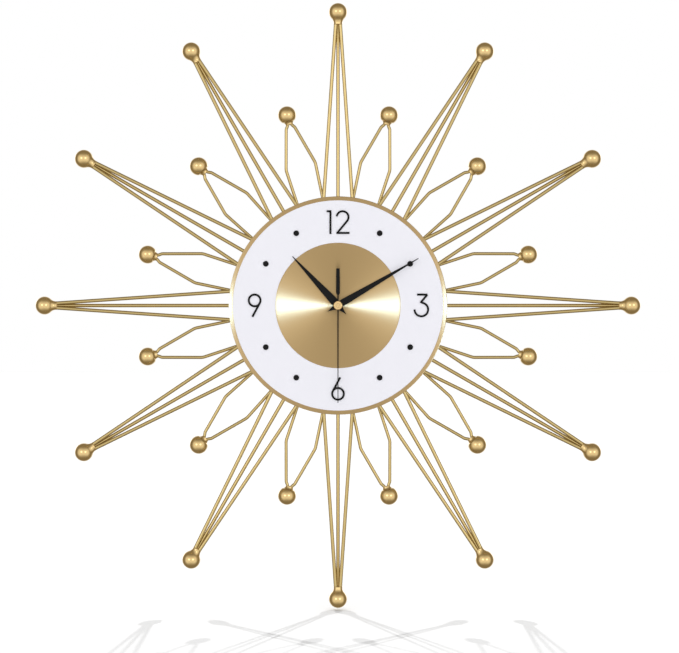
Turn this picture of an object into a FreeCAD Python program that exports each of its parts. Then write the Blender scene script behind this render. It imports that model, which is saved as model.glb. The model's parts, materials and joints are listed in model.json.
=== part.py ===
"""Sunburst wall clock: twelve long rays, twelve petals, a two-tone dial and a quartz movement.

Millimetres. +Z is up, the dial faces -Y, and the origin lies on the hands' axis in the plane of
the wall. A depth is a distance in front of the wall, so it is minus Y.
"""

import FreeCAD, Part
import math
import os

import Sketcher

# Every size of the clock: alias, value in millimetres (degrees and counts where the note says so).
SIZES = (
    # the sunburst
    ("overall_radius", 300.0, "hands' axis to the outside of a long ray's ball"),
    ("petal_tip_radius", 204.5, "hands' axis to the outside of a petal's ball"),
    ("ray_count", 12, "count of long rays, and of petals between them"),
    ("ball_radius", 9.0, "both kinds of ball"),
    ("ray_rod_radius", 1.8, "3.6 mm steel wire of the long rays"),
    ("petal_rod_radius", 1.6, "3.2 mm steel wire of the petals"),
    ("rod_gap", 0.1, "between the middle rod and each outer rod in a collar"),
    ("ray_collar_length", 6.0, "mouth of a long ray's collar to its seam with the ball"),
    ("petal_collar_length", 3.5, "mouth of a petal's collar to its seam with the ball"),
    ("collar_wall", 0.3, "metal round the rods at a collar's mouth"),
    ("collar_seam_radius", 6.4, "collar where it meets the ball"),
    ("collar_bow", 0.8, "how far a collar's side bows in"),
    ("rod_socket_depth", 2.5, "depth of a rod's hole in its collar"),
    ("ray_root_radius", 52.0, "inner end of a long ray's middle rod"),
    ("flank_root_radius", 71.0, "inner end of the outer rods and of a petal's rods"),
    ("ray_root_half_width", 16.5, "outer rod from the ray's middle line, at its inner end"),
    ("ray_tip_spread", 0.4, "half the space between a ray's outer rods, in the collar"),
    ("petal_root_half_width", 11.0, "petal rod from the petal's middle line, at its inner end"),
    ("petal_half_width", 15.0, "petal rod from the middle line, at the widest place"),
    ("petal_wide_radius", 143.0, "radius of the petal's widest place"),
    ("petal_wide_bend", 12.0, "bend radius of the rod at the widest place"),
    ("petal_fork_half_width", 4.4, "petal rod from the middle line, at the fork"),
    ("petal_fork_length", 3.5, "length of the fork, in front of the collar"),
    ("petal_tip_spread", 0.25, "half the space between a petal's rods, in the collar"),
    ("petal_small_bend", 4.0, "bend radius of the rod at the fork"),
    # discs and dial
    ("back_disc_radius", 100.0, "steel disc that carries every rod"),
    ("back_disc_thickness", 1.5, "steel disc"),
    ("dial_radius", 108.0, "turned gold dial plate"),
    ("dial_thickness", 1.2, "dial plate"),
    ("dial_hole_clearance", 0.7, "radial, hour tube to the hole in the dial plate"),
    ("dial_edge_round", 0.4, "rounded front edge of the dial plate"),
    ("ring_outer_radius", 104.0, "white ring"),
    ("ring_inner_radius", 62.0, "white ring"),
    ("ring_thickness", 1.5, "white ring"),
    ("ring_edge_chamfer", 0.35, "bevel on both front edges of the white ring"),
    ("figure_radius", 82.4, "hands' axis to the middle of a numeral or dot"),
    ("figure_thickness", 0.6, "raised numerals and dots"),
    ("figure_height", 23.4, "numerals"),
    ("figure_stroke", 1.95, "width of a numeral's stroke"),
    ("dot_radius", 2.8, "hour dots"),
    # hands
    ("hour_hand_length", 66.0, "axis to tip"),
    ("minute_hand_length", 92.0, "axis to tip"),
    ("second_hand_length", 96.0, "axis to tip"),
    ("hour_hand_width", 7.9, "at the shoulder"),
    ("minute_hand_width", 6.8, "at the shoulder"),
    ("second_hand_width", 1.2, "needle"),
    ("hand_tip_width", 0.8, "all three hands"),
    ("hand_shoulder_radius", 7.6, "axis to the widest place of the hour and minute hands"),
    ("hand_tail_length", 12.0, "axis to the point of the barb"),
    ("hand_boss_radius", 4.2, "round part of a hand about the axis"),
    ("hand_thickness", 0.6, "hour and minute hands"),
    ("hand_bevel", 0.22, "bevel round the front of the hour and minute hands"),
    ("second_hand_thickness", 0.4, "second hand"),
    ("counterweight_width", 3.8, "second hand's tail"),
    ("counterweight_start", 12.0, "axis to the near end of the tail's bar"),
    ("counterweight_end", 36.5, "axis to the far end of the tail's bar"),
    ("hand_clearance", 1.6, "front of the numerals to the back of the hour hand"),
    ("hand_spacing", 2.4, "back of one hand to the back of the next"),
    ("collet_length", 1.4, "collet behind a hand"),
    ("collet_wall", 0.9, "collet round its tube or arbor"),
    ("cap_radius", 4.35, "gold cap on the second hand"),
    ("cap_thickness", 1.2, "gold cap"),
    ("cap_button_radius", 2.0, "raised middle of the cap"),
    ("cap_button_height", 0.6, "raised middle of the cap"),
    ("cap_bevel", 0.4, "bevel round the front of the cap"),
    ("cap_button_bevel", 0.2, "bevel round the raised middle"),
    # movement case
    ("case_wall", 1.2, "side walls of the movement's square case"),
    ("case_front_wall", 1.0, "front wall"),
    ("case_corner", 3.0, "rounded corners"),
    ("cover_thickness", 1.5, "rear cover"),
    ("bay_wall", 0.8, "wall between battery bay and wheels"),
    ("bay_wall_clearance", 0.4, "rim of the second wheel to the bay's wall"),
    ("battery_radius", 7.25, "AA cell"),
    ("battery_length", 50.5, "AA cell with its button"),
    ("battery_button_radius", 2.75, "AA cell"),
    ("battery_button_length", 1.0, "AA cell"),
    ("battery_round", 0.6, "rounded ends of the cell"),
    ("battery_rear_gap", 1.15, "wall to the cell"),
    ("battery_front_gap", 0.35, "cell to the front wall, and to the side wall"),
    ("battery_bay_gap", 0.3, "cell to the bay's wall"),
    ("battery_opening_gap", 0.15, "cell to the sides of the opening in the cover"),
    ("battery_end_gap", 0.65, "cell to the ends of the opening in the cover"),
    ("contact_thickness", 0.4, "spring strips"),
    ("contact_width", 8.0, "spring strips"),
    ("contact_reach", 5.1, "cell's axis to the end of a strip's long leg"),
    ("contact_short_reach", 4.1, "cell's axis to the end of a strip's leg at the cell"),
    ("contact_gap", 0.1, "strip to the cell's end"),
    ("washer_thickness", 1.0, "rubber washer"),
    ("washer_radius", 15.0, "rubber washer"),
    ("bushing_radius", 4.0, "M8 bushing"),
    ("bushing_flange_radius", 5.5, "flange inside the case"),
    ("bushing_flange", 0.8, "flange thickness"),
    ("bushing_end", 0.1, "bushing beyond its nut"),
    ("nut_width", 12.0, "across the flats"),
    ("nut_thickness", 2.8, "nut between back disc and dial plate"),
    ("hanger_thickness", 1.0, "steel hanger"),
    ("hanger_hole_radius", 4.5, "hole for the wall screw's head"),
    ("hanger_hole_height", 38.0, "hands' axis to the hanger's hole"),
    ("hanger_neck_width", 22.0, "hanger where it leaves the case"),
    ("hanger_foot_width", 32.0, "hanger inside the case"),
    ("hanger_foot_height", 4.0, "hanger inside the case"),
    ("hanger_slot_half_width", 2.25, "slot above the hole, for the screw's shank"),
    ("hanger_slot_length", 6.1, "middle of the hole to the end of the slot"),
    ("hanger_seat_margin", 1.0, "seat cut beyond both faces of the case wall"),
    # gears
    ("gear_thickness", 0.8, "wheels"),
    ("tooth_thinning", 0.08, "taken off each tooth at the pitch circle"),
    ("running_clearance", 0.05, "radial, at every pivot"),
    ("going_centres", 11.6, "hands' axis to the third wheel's axis"),
    ("setting_centres", 11.8, "hands' axis to the setting wheel's axis"),
    ("intermediate_centres", 12.0, "hands' axis to the intermediate wheel's axis"),
    ("rotor_centres", 6.0, "intermediate wheel's axis to the rotor's axis"),
    ("pivot_radius", 0.4, "thin ends of the arbors"),
    ("arbor_radius", 0.6, "arbors of the third, setting and intermediate wheels"),
    ("second_arbor_radius", 0.7, "second hand's arbor"),
    ("minute_tube_radius", 1.6, "cannon tube"),
    ("hour_tube_wall", 0.85, "hour wheel's tube"),
    ("knob_radius", 5.0, "setting knob"),
    ("knob_thickness", 1.5, "setting knob"),
    ("knob_depth", 0.3, "wall to the knob"),
    ("knob_clearance", 0.4, "radial, knob to its cup"),
    ("knob_floor_gap", 0.2, "knob to the floor of its cup"),
    ("cup_wall", 1.0, "side of the knob's cup"),
    ("cup_floor_thickness", 1.2, "floor of the knob's cup"),
    ("pivot_floor", 0.5, "left of the cover behind a rear pivot"),
    ("rotor_magnet_radius", 3.0, "rotor magnet"),
    ("rotor_air_gap", 0.6, "magnet to stator"),
    ("stator_thickness", 1.0, "stator sheet"),
)

doc = FreeCAD.newDocument("SunburstClock")
sheet = doc.addObject("Spreadsheet::Sheet", "Sizes")
for row, (alias, value, note) in enumerate(SIZES, start=1):
    sheet.set(f"A{row}", alias)
    sheet.set(f"B{row}", str(value))
    sheet.set(f"C{row}", note)
    sheet.setAlias(f"B{row}", alias)
doc.recompute()

AXIS_Y = FreeCAD.Vector(0, 1, 0)
LAYER_GAP = 0.3
nodes = []


def size(alias):
    """The value of one size of the sheet."""
    return float(sheet.get(alias))


def bind(thing, prop, alias):
    """Tie a property to a size of the sheet."""
    thing.setExpression(prop, f"Sizes.{alias}")


def node(thing, name):
    """Name an object as one piece of the clock."""
    thing.Label = name
    nodes.append(thing)
    return thing


def polar(radius, clock_angle):
    """(x, z) at a radius and an angle in degrees, clockwise from 12 as seen from the front."""
    turn = math.radians(clock_angle)
    return radius * math.sin(turn), radius * math.cos(turn)


# --- sketches and features ---------------------------------------------------------------------


def new_body(name):
    """An empty body of the document."""
    return doc.addObject("PartDesign::Body", name)


def new_sketch(body, plane, name, depth=0.0, at=(0.0, 0.0)):
    """A sketch on one of the body's own planes; on XZ it looks at the dial from the front."""
    sketch = body.newObject("Sketcher::SketchObject", f"{body.Name}_{name}")
    origin = next(f for f in body.Origin.OriginFeatures if f.Role == plane)
    sketch.AttachmentSupport = [(origin, "")]
    sketch.MapMode = "FlatFace"
    sketch.AttachmentOffset = FreeCAD.Placement(
        FreeCAD.Vector(at[0], at[1], depth), FreeCAD.Rotation()
    )
    return sketch


def outline(sketch, points):
    """Closed outline of straight lines."""
    ring = [FreeCAD.Vector(x, y, 0) for x, y in points]
    lines = [Part.LineSegment(a, b) for a, b in zip(ring, ring[1:] + ring[:1])]
    sketch.addGeometry(lines, False)


def rectangle(sketch, left, bottom, right, top):
    """Closed outline of a rectangle."""
    outline(sketch, ((left, bottom), (right, bottom), (right, top), (left, top)))


def circle(sketch, alias, centre=(0.0, 0.0)):
    """A circle whose radius follows a size of the sheet."""
    middle = FreeCAD.Vector(centre[0], centre[1], 0)
    index = sketch.addGeometry(Part.Circle(middle, FreeCAD.Vector(0, 0, 1), size(alias)), False)
    rule = sketch.addConstraint(Sketcher.Constraint("Radius", index, size(alias)))
    bind(sketch, f"Constraints[{rule}]", alias)


def hole_circle(sketch, radius, centre=(0.0, 0.0)):
    """A circle of a radius worked out from several sizes."""
    middle = FreeCAD.Vector(centre[0], centre[1], 0)
    sketch.addGeometry(Part.Circle(middle, FreeCAD.Vector(0, 0, 1), radius), False)


def rounded_square(sketch, half, corner):
    """A square about the origin with round corners, given by half its width."""
    inner = half - corner
    up = FreeCAD.Vector(0, 0, 1)
    for quarter in range(4):
        turn = FreeCAD.Rotation(up, 90 * quarter)
        start = turn.multVec(FreeCAD.Vector(half, -inner, 0))
        end = turn.multVec(FreeCAD.Vector(half, inner, 0))
        middle = turn.multVec(FreeCAD.Vector(inner, inner, 0))
        sketch.addGeometry(Part.LineSegment(start, end), False)
        arc = Part.Circle(middle, up, corner)
        first = math.pi / 2 * quarter
        sketch.addGeometry(Part.ArcOfCircle(arc, first, first + math.pi / 2), False)


def pad(body, sketch, name, alias=None, length=None):
    """Raise a sketch towards the front, by a size of the sheet or by a worked-out length."""
    feature = body.newObject("PartDesign::Pad", f"{body.Name}_{name}")
    feature.Profile = sketch
    feature.Length = size(alias) if alias else length
    if alias:
        bind(feature, "Length", alias)
    return feature


def turn_profile(body, points, name="turned"):
    """Revolve an outline of (radius, depth) points about the body's own front-to-back axis."""
    sketch = new_sketch(body, "XY_Plane", f"{name}_profile")
    outline(sketch, [(radius, -depth) for radius, depth in points])
    feature = body.newObject("PartDesign::Revolution", f"{body.Name}_{name}")
    feature.Profile = sketch
    feature.ReferenceAxis = (sketch, ["V_Axis"])
    feature.Angle = 360
    return feature


def stepped(body, steps, bore=0.0, name="turned"):
    """Revolve a shaft given as (radius, from depth, to depth) steps, front-most last."""
    outer = []
    for radius, start, end in steps:
        outer += [(radius, start), (radius, end)]
    turn_profile(body, [(bore, steps[0][1])] + outer + [(bore, steps[-1][2])], name)


def place(body, at):
    """Set a body on an axis (x, z) parallel to the hands' axis."""
    body.Placement = FreeCAD.Placement(FreeCAD.Vector(at[0], 0, at[1]), FreeCAD.Rotation())


# --- where the layers and axes lie --------------------------------------------------------------

cover_front = size("cover_thickness")
battery_depth = size("battery_rear_gap") + size("battery_radius")
cavity_front = battery_depth + size("battery_radius") + size("battery_front_gap")
case_front = cavity_front + size("case_front_wall")
back_disc_rear = case_front + size("washer_thickness")
back_disc_front = back_disc_rear + size("back_disc_thickness")

ray_rod, petal_rod = size("ray_rod_radius"), size("petal_rod_radius")
ray_ball_centre = size("overall_radius") - size("ball_radius")
petal_ball_centre = size("petal_tip_radius") - size("ball_radius")
seam_reach = math.sqrt(size("ball_radius") ** 2 - size("collar_seam_radius") ** 2)
ray_mouth = ray_ball_centre - seam_reach - size("ray_collar_length")
petal_mouth = petal_ball_centre - seam_reach - size("petal_collar_length")
ray_rod_end = ray_mouth + size("rod_socket_depth")

# Petals and middle rods lie on the rear of the back disc, outer rods on its front. In a collar
# the outer rods come side by side in front of the middle rod, so they lean back from the disc's edge.
petal_depth = back_disc_rear - petal_rod
middle_rod_depth = back_disc_rear - ray_rod
ray_tip_half_width = ray_rod + size("ray_tip_spread")
petal_tip_half_width = petal_rod + size("petal_tip_spread")
bundle_rise = math.sqrt((2 * ray_rod + size("rod_gap")) ** 2 - ray_tip_half_width ** 2)
bundle_middle = (ray_tip_half_width ** 2 + bundle_rise ** 2) / (2 * bundle_rise)
ray_ball_depth = middle_rod_depth + bundle_middle
outer_rod_edge_depth = back_disc_front + ray_rod
outer_rod_lean = (outer_rod_edge_depth - middle_rod_depth - bundle_rise) / (
    ray_rod_end - size("back_disc_radius")
)

dial_rear = outer_rod_edge_depth + ray_rod + outer_rod_lean * (
    size("back_disc_radius") - size("flank_root_radius")
)
dial_front = dial_rear + size("dial_thickness")
ring_front = dial_front + size("ring_thickness")
hour_hand_depth = ring_front + size("figure_thickness") + size("hand_clearance")
minute_hand_depth = hour_hand_depth + size("hand_spacing")
second_hand_depth = minute_hand_depth + size("hand_spacing")
second_hand_front = second_hand_depth + size("second_hand_thickness")
cap_front = second_hand_front + size("cap_thickness")

THIRD_ANGLE = -50.0
SETTING_ANGLE = 40.0
INTERMEDIATE_ANGLE = 115.0
ROTOR_ANGLE = 73.3
third_axis = polar(size("going_centres"), THIRD_ANGLE)
setting_axis = polar(size("setting_centres"), SETTING_ANGLE)
intermediate_axis = polar(size("intermediate_centres"), INTERMEDIATE_ANGLE)
rotor_reach = polar(size("rotor_centres"), ROTOR_ANGLE)
rotor_axis = (intermediate_axis[0] + rotor_reach[0], intermediate_axis[1] + rotor_reach[1])

# Tooth counts: rotor to second wheel 30:1, second to centre wheel 60:1, minute to hour hand 12:1.
ROTOR_PINION, INTERMEDIATE_WHEEL, INTERMEDIATE_PINION = 8, 40, 10
SECOND_WHEEL, SECOND_PINION, THIRD_WHEEL, THIRD_PINION, CENTRE_WHEEL = 60, 8, 60, 8, 64
CANNON_PINION, SETTING_WHEEL, SETTING_PINION, HOUR_WHEEL = 12, 36, 10, 40
PINION_ADDENDUM, WHEEL_ADDENDUM, ROOT_GAP = 1.0, 0.5, 0.25


def pair_module(centres, *teeth):
    """Module that makes two gears meet over their centre distance."""
    return 2 * size(centres) / sum(teeth)


# The battery bay lies below the second wheel, and the square case closes round both.
second_module = pair_module("intermediate_centres", INTERMEDIATE_PINION, SECOND_WHEEL)
second_wheel_tip = second_module * (SECOND_WHEEL / 2 + WHEEL_ADDENDUM)
bay_wall_bottom = -second_wheel_tip - size("bay_wall_clearance") - size("bay_wall")
battery_drop = size("battery_bay_gap") + size("battery_radius") - bay_wall_bottom
inner_half = battery_drop + size("battery_radius") + size("battery_front_gap")
case_half = inner_half + size("case_wall")
hour_tube_radius = size("minute_tube_radius") + size("running_clearance") + size("hour_tube_wall")


# --- sunburst ------------------------------------------------------------------------------------


def straight_rod(name, start, end):
    """A rod between two (lateral, depth, radial) points of the ray at 12 o'clock."""
    rod = doc.addObject("Part::Cylinder", name)
    bind(rod, "Radius", "ray_rod_radius")
    first = FreeCAD.Vector(start[0], -start[1], start[2])
    along = FreeCAD.Vector(end[0], -end[1], end[2]) - first
    rod.Height = along.Length
    rod.Placement = FreeCAD.Placement(first, FreeCAD.Rotation(FreeCAD.Vector(0, 0, 1), along))
    return rod


def bent_path(sketch, points, bends):
    """Straight lines through (x, y) points, with an arc of the given radius at each corner."""
    corners = [FreeCAD.Vector(x, y, 0) for x, y in points]
    start = corners[0]
    for before, corner, after, bend in zip(corners, corners[1:], corners[2:], bends):
        back = (before - corner).normalize()
        ahead = (after - corner).normalize()
        half = back.getAngle(ahead) / 2
        reach = bend / math.tan(half)
        middle = corner + (back + ahead).normalize() * (bend / math.sin(half))
        first, last = corner + back * reach, corner + ahead * reach
        crown = middle + (corner - middle).normalize() * bend
        sketch.addGeometry(Part.LineSegment(start, first), False)
        sketch.addGeometry(Part.Arc(first, crown, last), False)
        start = last
    sketch.addGeometry(Part.LineSegment(start, corners[-1]), False)


def build_petal_rod():
    """One bent rod of the petal at 12 o'clock, on the right of its middle line."""
    points = (
        (size("petal_root_half_width"), size("flank_root_radius")),
        (size("petal_half_width"), size("petal_wide_radius")),
        (size("petal_fork_half_width"), petal_mouth - size("petal_fork_length")),
        (petal_tip_half_width, petal_mouth),
        (petal_tip_half_width, petal_mouth + size("rod_socket_depth")),
    )
    body = new_body("petal_rod")
    path = new_sketch(body, "XZ_Plane", "path", petal_depth)
    small = size("petal_small_bend")
    bent_path(path, points, (size("petal_wide_bend"), small, small))
    profile = new_sketch(body, "XY_Plane", "profile")
    lean = math.degrees(math.atan2(points[1][0] - points[0][0], points[1][1] - points[0][1]))
    profile.AttachmentOffset = FreeCAD.Placement(
        FreeCAD.Vector(points[0][0], -petal_depth, points[0][1]), FreeCAD.Rotation(AXIS_Y, lean)
    )
    circle(profile, "petal_rod_radius")
    pipe = body.newObject("PartDesign::AdditivePipe", "petal_rod_pipe")
    pipe.Profile = profile
    pipe.Spine = path
    mirror = doc.addObject("Part::Mirroring", "petal_rod_mirrored")
    mirror.Source = body
    mirror.Normal = FreeCAD.Vector(1, 0, 0)
    return [body, mirror]


def build_ray_rods():
    """The three rods of the long ray at 12 o'clock."""
    root, root_width = size("flank_root_radius"), size("ray_root_half_width")
    root_depth = dial_rear - ray_rod
    tip_depth = middle_rod_depth + bundle_rise
    start, stop = (0, middle_rod_depth, size("ray_root_radius")), (0, middle_rod_depth, ray_rod_end)
    rods = [straight_rod("ray_middle_rod", start, stop)]
    for side, label in ((-1, "left"), (1, "right")):
        start = (side * root_width, root_depth, root)
        stop = (side * ray_tip_half_width, tip_depth, ray_rod_end)
        rods.append(straight_rod(f"ray_{label}_rod", start, stop))
    return rods


def build_ball(name, centre, depth, mouth, mouth_radius, rods):
    """A ball and its collar, turned about the ray's middle line and bored for the rods."""
    body = new_body(name)
    sketch = new_sketch(body, "XZ_Plane", "profile", depth)
    radius = size("ball_radius")
    top = FreeCAD.Vector(0, centre + radius, 0)
    seam = FreeCAD.Vector(size("collar_seam_radius"), centre - seam_reach, 0)
    lip = FreeCAD.Vector(mouth_radius, mouth, 0)
    foot = FreeCAD.Vector(0, mouth, 0)
    inward = FreeCAD.Vector(lip.y - seam.y, seam.x - lip.x, 0).normalize()
    waist = (lip + seam) / 2 + inward * size("collar_bow")
    sketch.addGeometry(Part.Arc(seam, waist, lip), False)
    sketch.addGeometry(Part.LineSegment(lip, foot), False)
    sketch.addGeometry(Part.LineSegment(foot, top), False)
    sketch.addGeometry(Part.Arc(seam, FreeCAD.Vector(radius, centre, 0), top), False)
    ball = body.newObject("PartDesign::Revolution", f"{name}_turned")
    ball.Profile = sketch
    ball.ReferenceAxis = (sketch, ["V_Axis"])
    ball.Angle = 360
    sockets = doc.addObject("Part::Compound", f"{name}_rods")
    sockets.Links = rods
    bored = doc.addObject("Part::Cut", f"{name}_bored")
    bored.Base = body
    bored.Tool = sockets
    return bored


def turned_about_hands(name, pieces, clock_angle):
    """A copy of the pieces, turned clockwise about the hands' axis."""
    copy = doc.addObject("Part::Compound", name)
    copy.Links = pieces
    turn = FreeCAD.Rotation(AXIS_Y, clock_angle)
    copy.Placement = FreeCAD.Placement(FreeCAD.Vector(), turn)
    return copy


def build_sunburst():
    """Twelve long rays and twelve petals, with their balls."""
    count = int(size("ray_count"))
    step = 360 / count
    ray_bundle, petal_bundle = bundle_middle + ray_rod, petal_tip_half_width + petal_rod
    kinds = (
        ("long_ray", build_ray_rods(), 0.0,
         (ray_ball_centre, ray_ball_depth, ray_mouth, ray_bundle + size("collar_wall"))),
        ("petal", build_petal_rod(), step / 2,
         (petal_ball_centre, petal_depth, petal_mouth, petal_bundle + size("collar_wall"))),
    )
    for kind, rods, offset, shape in kinds:
        ball = build_ball(f"{kind}_ball", *shape, rods)
        angles = [offset + step * index for index in range(count)]
        for index, angle in enumerate(angles, start=1):
            name = f"{kind}_{index:02d}"
            node(turned_about_hands(name, rods, angle), name)
        balls = [
            turned_about_hands(f"{kind}_ball_{index:02d}", [ball], angle)
            for index, angle in enumerate(angles, start=1)
        ]
        group = doc.addObject("Part::Compound", f"{kind}_balls")
        group.Links = balls
        node(group, f"{kind}_balls")


# --- discs and dial ------------------------------------------------------------------------------


def build_disc(name, radius, bore, depth, thickness):
    """A flat disc with a hole in the middle, whose bore is a size or a worked-out radius."""
    body = new_body(name)
    sketch = new_sketch(body, "XZ_Plane", "outline", depth)
    circle(sketch, radius)
    if isinstance(bore, str):
        circle(sketch, bore)
    else:
        hole_circle(sketch, bore)
    pad(body, sketch, "disc", thickness)
    return node(body, name)


def front_edges(body, depth, wanted=lambda edge: True):
    """Names of the edges of a body's tip that lie wholly in a plane of one depth."""
    found = []
    for index, edge in enumerate(body.Tip.Shape.Edges, start=1):
        flat = all(abs(vertex.Y + depth) < 1e-6 for vertex in edge.Vertexes)
        if flat and abs(edge.CenterOfMass.y + depth) < 1e-6 and wanted(edge):
            found.append(f"Edge{index}")
    return found


def soften(body, kind, alias, depth, wanted=lambda edge: True):
    """Fillet or chamfer a body's edges at one depth."""
    doc.recompute()
    tip = body.Tip
    edges = front_edges(body, depth, wanted)
    feature = body.newObject(f"PartDesign::{kind}", f"{body.Name}_{kind.lower()}")
    feature.Base = (tip, edges)
    bind(feature, "Radius" if kind == "Fillet" else "Size", alias)
    return feature


def build_dial():
    """Back disc, gold dial plate and the white ring on it."""
    build_disc("back_disc", "back_disc_radius", "bushing_radius", back_disc_rear,
               "back_disc_thickness")
    hole = hour_tube_radius + size("dial_hole_clearance")
    plate = build_disc("dial_plate", "dial_radius", hole, dial_rear, "dial_thickness")
    rim = size("dial_radius")
    soften(plate, "Fillet", "dial_edge_round", dial_front,
           lambda edge: edge.BoundBox.XMax > rim / 2)
    ring = build_disc("dial_ring", "ring_outer_radius", "ring_inner_radius", dial_front,
                      "ring_thickness")
    soften(ring, "Chamfer", "ring_edge_chamfer", ring_front)


def build_dots():
    """Round dots at the eight hours that have no numeral."""
    body = new_body("hour_dots")
    sketch = new_sketch(body, "XZ_Plane", "outline", ring_front)
    for hour in range(1, 13):
        if hour % 3:
            circle(sketch, "dot_radius", polar(size("figure_radius"), 30 * hour))
    pad(body, sketch, "dots", "figure_thickness")
    node(body, "hour_dots")


class Numeral:
    """Draws the strokes of one numeral about its own middle."""

    def __init__(self, hour):
        self.body = new_body(f"numeral_{hour}")
        self.centre = polar(size("figure_radius"), 30 * hour)
        self.half_stroke = size("figure_stroke") / 2
        self.top = size("figure_height") / 2
        self.count = 0
        node(self.body, f"numeral_{hour}")

    def raise_stroke(self, sketch):
        """Raise one stroke from the ring."""
        self.count += 1
        pad(self.body, sketch, f"stroke_{self.count}", "figure_thickness")

    def sketch(self):
        """A sketch on the ring for the next stroke."""
        return new_sketch(
            self.body, "XZ_Plane", f"stroke_{self.count + 1}_outline", ring_front, self.centre
        )

    def bar(self, start, end):
        """A straight stroke between the middles of its two ends."""
        a, b = FreeCAD.Vector(*start, 0), FreeCAD.Vector(*end, 0)
        along = (b - a).normalize()
        side = FreeCAD.Vector(-along.y, along.x, 0) * self.half_stroke
        sketch = self.sketch()
        outline(sketch, [(p.x, p.y) for p in (a - side, b - side, b + side, a + side)])
        self.raise_stroke(sketch)

    def arc(self, centre, radius, first, last):
        """A curved stroke from one angle to another, anticlockwise in degrees."""
        middle, up = FreeCAD.Vector(*centre, 0), FreeCAD.Vector(0, 0, 1)
        first, last = math.radians(first), math.radians(last)
        sketch = self.sketch()
        ends = []
        for reach in (radius + self.half_stroke, radius - self.half_stroke):
            curve = Part.ArcOfCircle(Part.Circle(middle, up, reach), first, last)
            sketch.addGeometry(curve, False)
            ends.append((curve.StartPoint, curve.EndPoint))
        for a, b in zip(*ends):
            sketch.addGeometry(Part.LineSegment(a, b), False)
        self.raise_stroke(sketch)

    def loop(self, centre, radius):
        """A full circle."""
        sketch = self.sketch()
        hole_circle(sketch, radius + self.half_stroke, centre)
        hole_circle(sketch, radius - self.half_stroke, centre)
        self.raise_stroke(sketch)


def tangent_angle(point, centre, radius):
    """Angle, in degrees, of the place on a circle's right side whose tangent meets a point."""
    dx, dy = point[0] - centre[0], point[1] - centre[1]
    return math.degrees(math.atan2(dy, dx) + math.acos(radius / math.hypot(dx, dy)))


def on_circle(centre, radius, angle):
    """The point of a circle at an angle in degrees."""
    turn = math.radians(angle)
    return centre[0] + radius * math.cos(turn), centre[1] + radius * math.sin(turn)


def draw_looped(numeral, upright):
    """A loop with a straight stem: a nine, or a six when it is turned over."""
    sign = 1 if upright else -1
    radius = 0.246 * size("figure_height")
    centre = (0.0, numeral.top - radius - numeral.half_stroke)
    foot = (-0.095 * size("figure_height"), -numeral.top + numeral.half_stroke / 2)
    start = on_circle(centre, radius, tangent_angle(foot, centre, radius))
    numeral.loop((0.0, sign * centre[1]), radius)
    numeral.bar((sign * start[0], sign * start[1]), (sign * foot[0], sign * foot[1]))


def draw_three(numeral):
    """A flat-topped three: bar, diagonal and an open bowl."""
    radius = 0.286 * size("figure_height")
    centre = (0.0, radius + numeral.half_stroke - numeral.top)
    bar_height = numeral.top - numeral.half_stroke
    corner = (0.255 * size("figure_height"), bar_height)
    numeral.bar((-0.18 * size("figure_height"), bar_height), corner)
    numeral.bar(corner, (-0.035 * size("figure_height"), centre[1] + radius))
    numeral.arc(centre, radius, -180, 88)


def draw_twelve(numeral):
    """A one with a short flag, then a two."""
    unit, top, half = size("figure_height"), numeral.top, numeral.half_stroke
    stem = -0.318 * unit
    numeral.bar((stem, -top), (stem, top))
    numeral.bar((stem - 0.16 * unit, top - half), (stem, top - half))
    radius = 0.25 * unit
    centre = (0.195 * unit, top - radius - half)
    base = -top + half
    foot = (-0.03 * unit, base)
    angle = tangent_angle(foot, centre, radius)
    numeral.arc(centre, radius, angle, 172)
    numeral.bar(on_circle(centre, radius, angle), foot)
    numeral.bar((-0.065 * unit, base), (0.487 * unit, base))


def build_figures():
    """The four numerals and the eight dots."""
    draw_twelve(Numeral(12))
    draw_three(Numeral(3))
    draw_looped(Numeral(6), upright=False)
    draw_looped(Numeral(9), upright=True)
    build_dots()


# --- hands ---------------------------------------------------------------------------------------


BLADE_ROOT_SHARE = 0.9
BARB_CORNER_SHARE, BARB_BOW_SHARE = 0.98, 0.42


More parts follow.
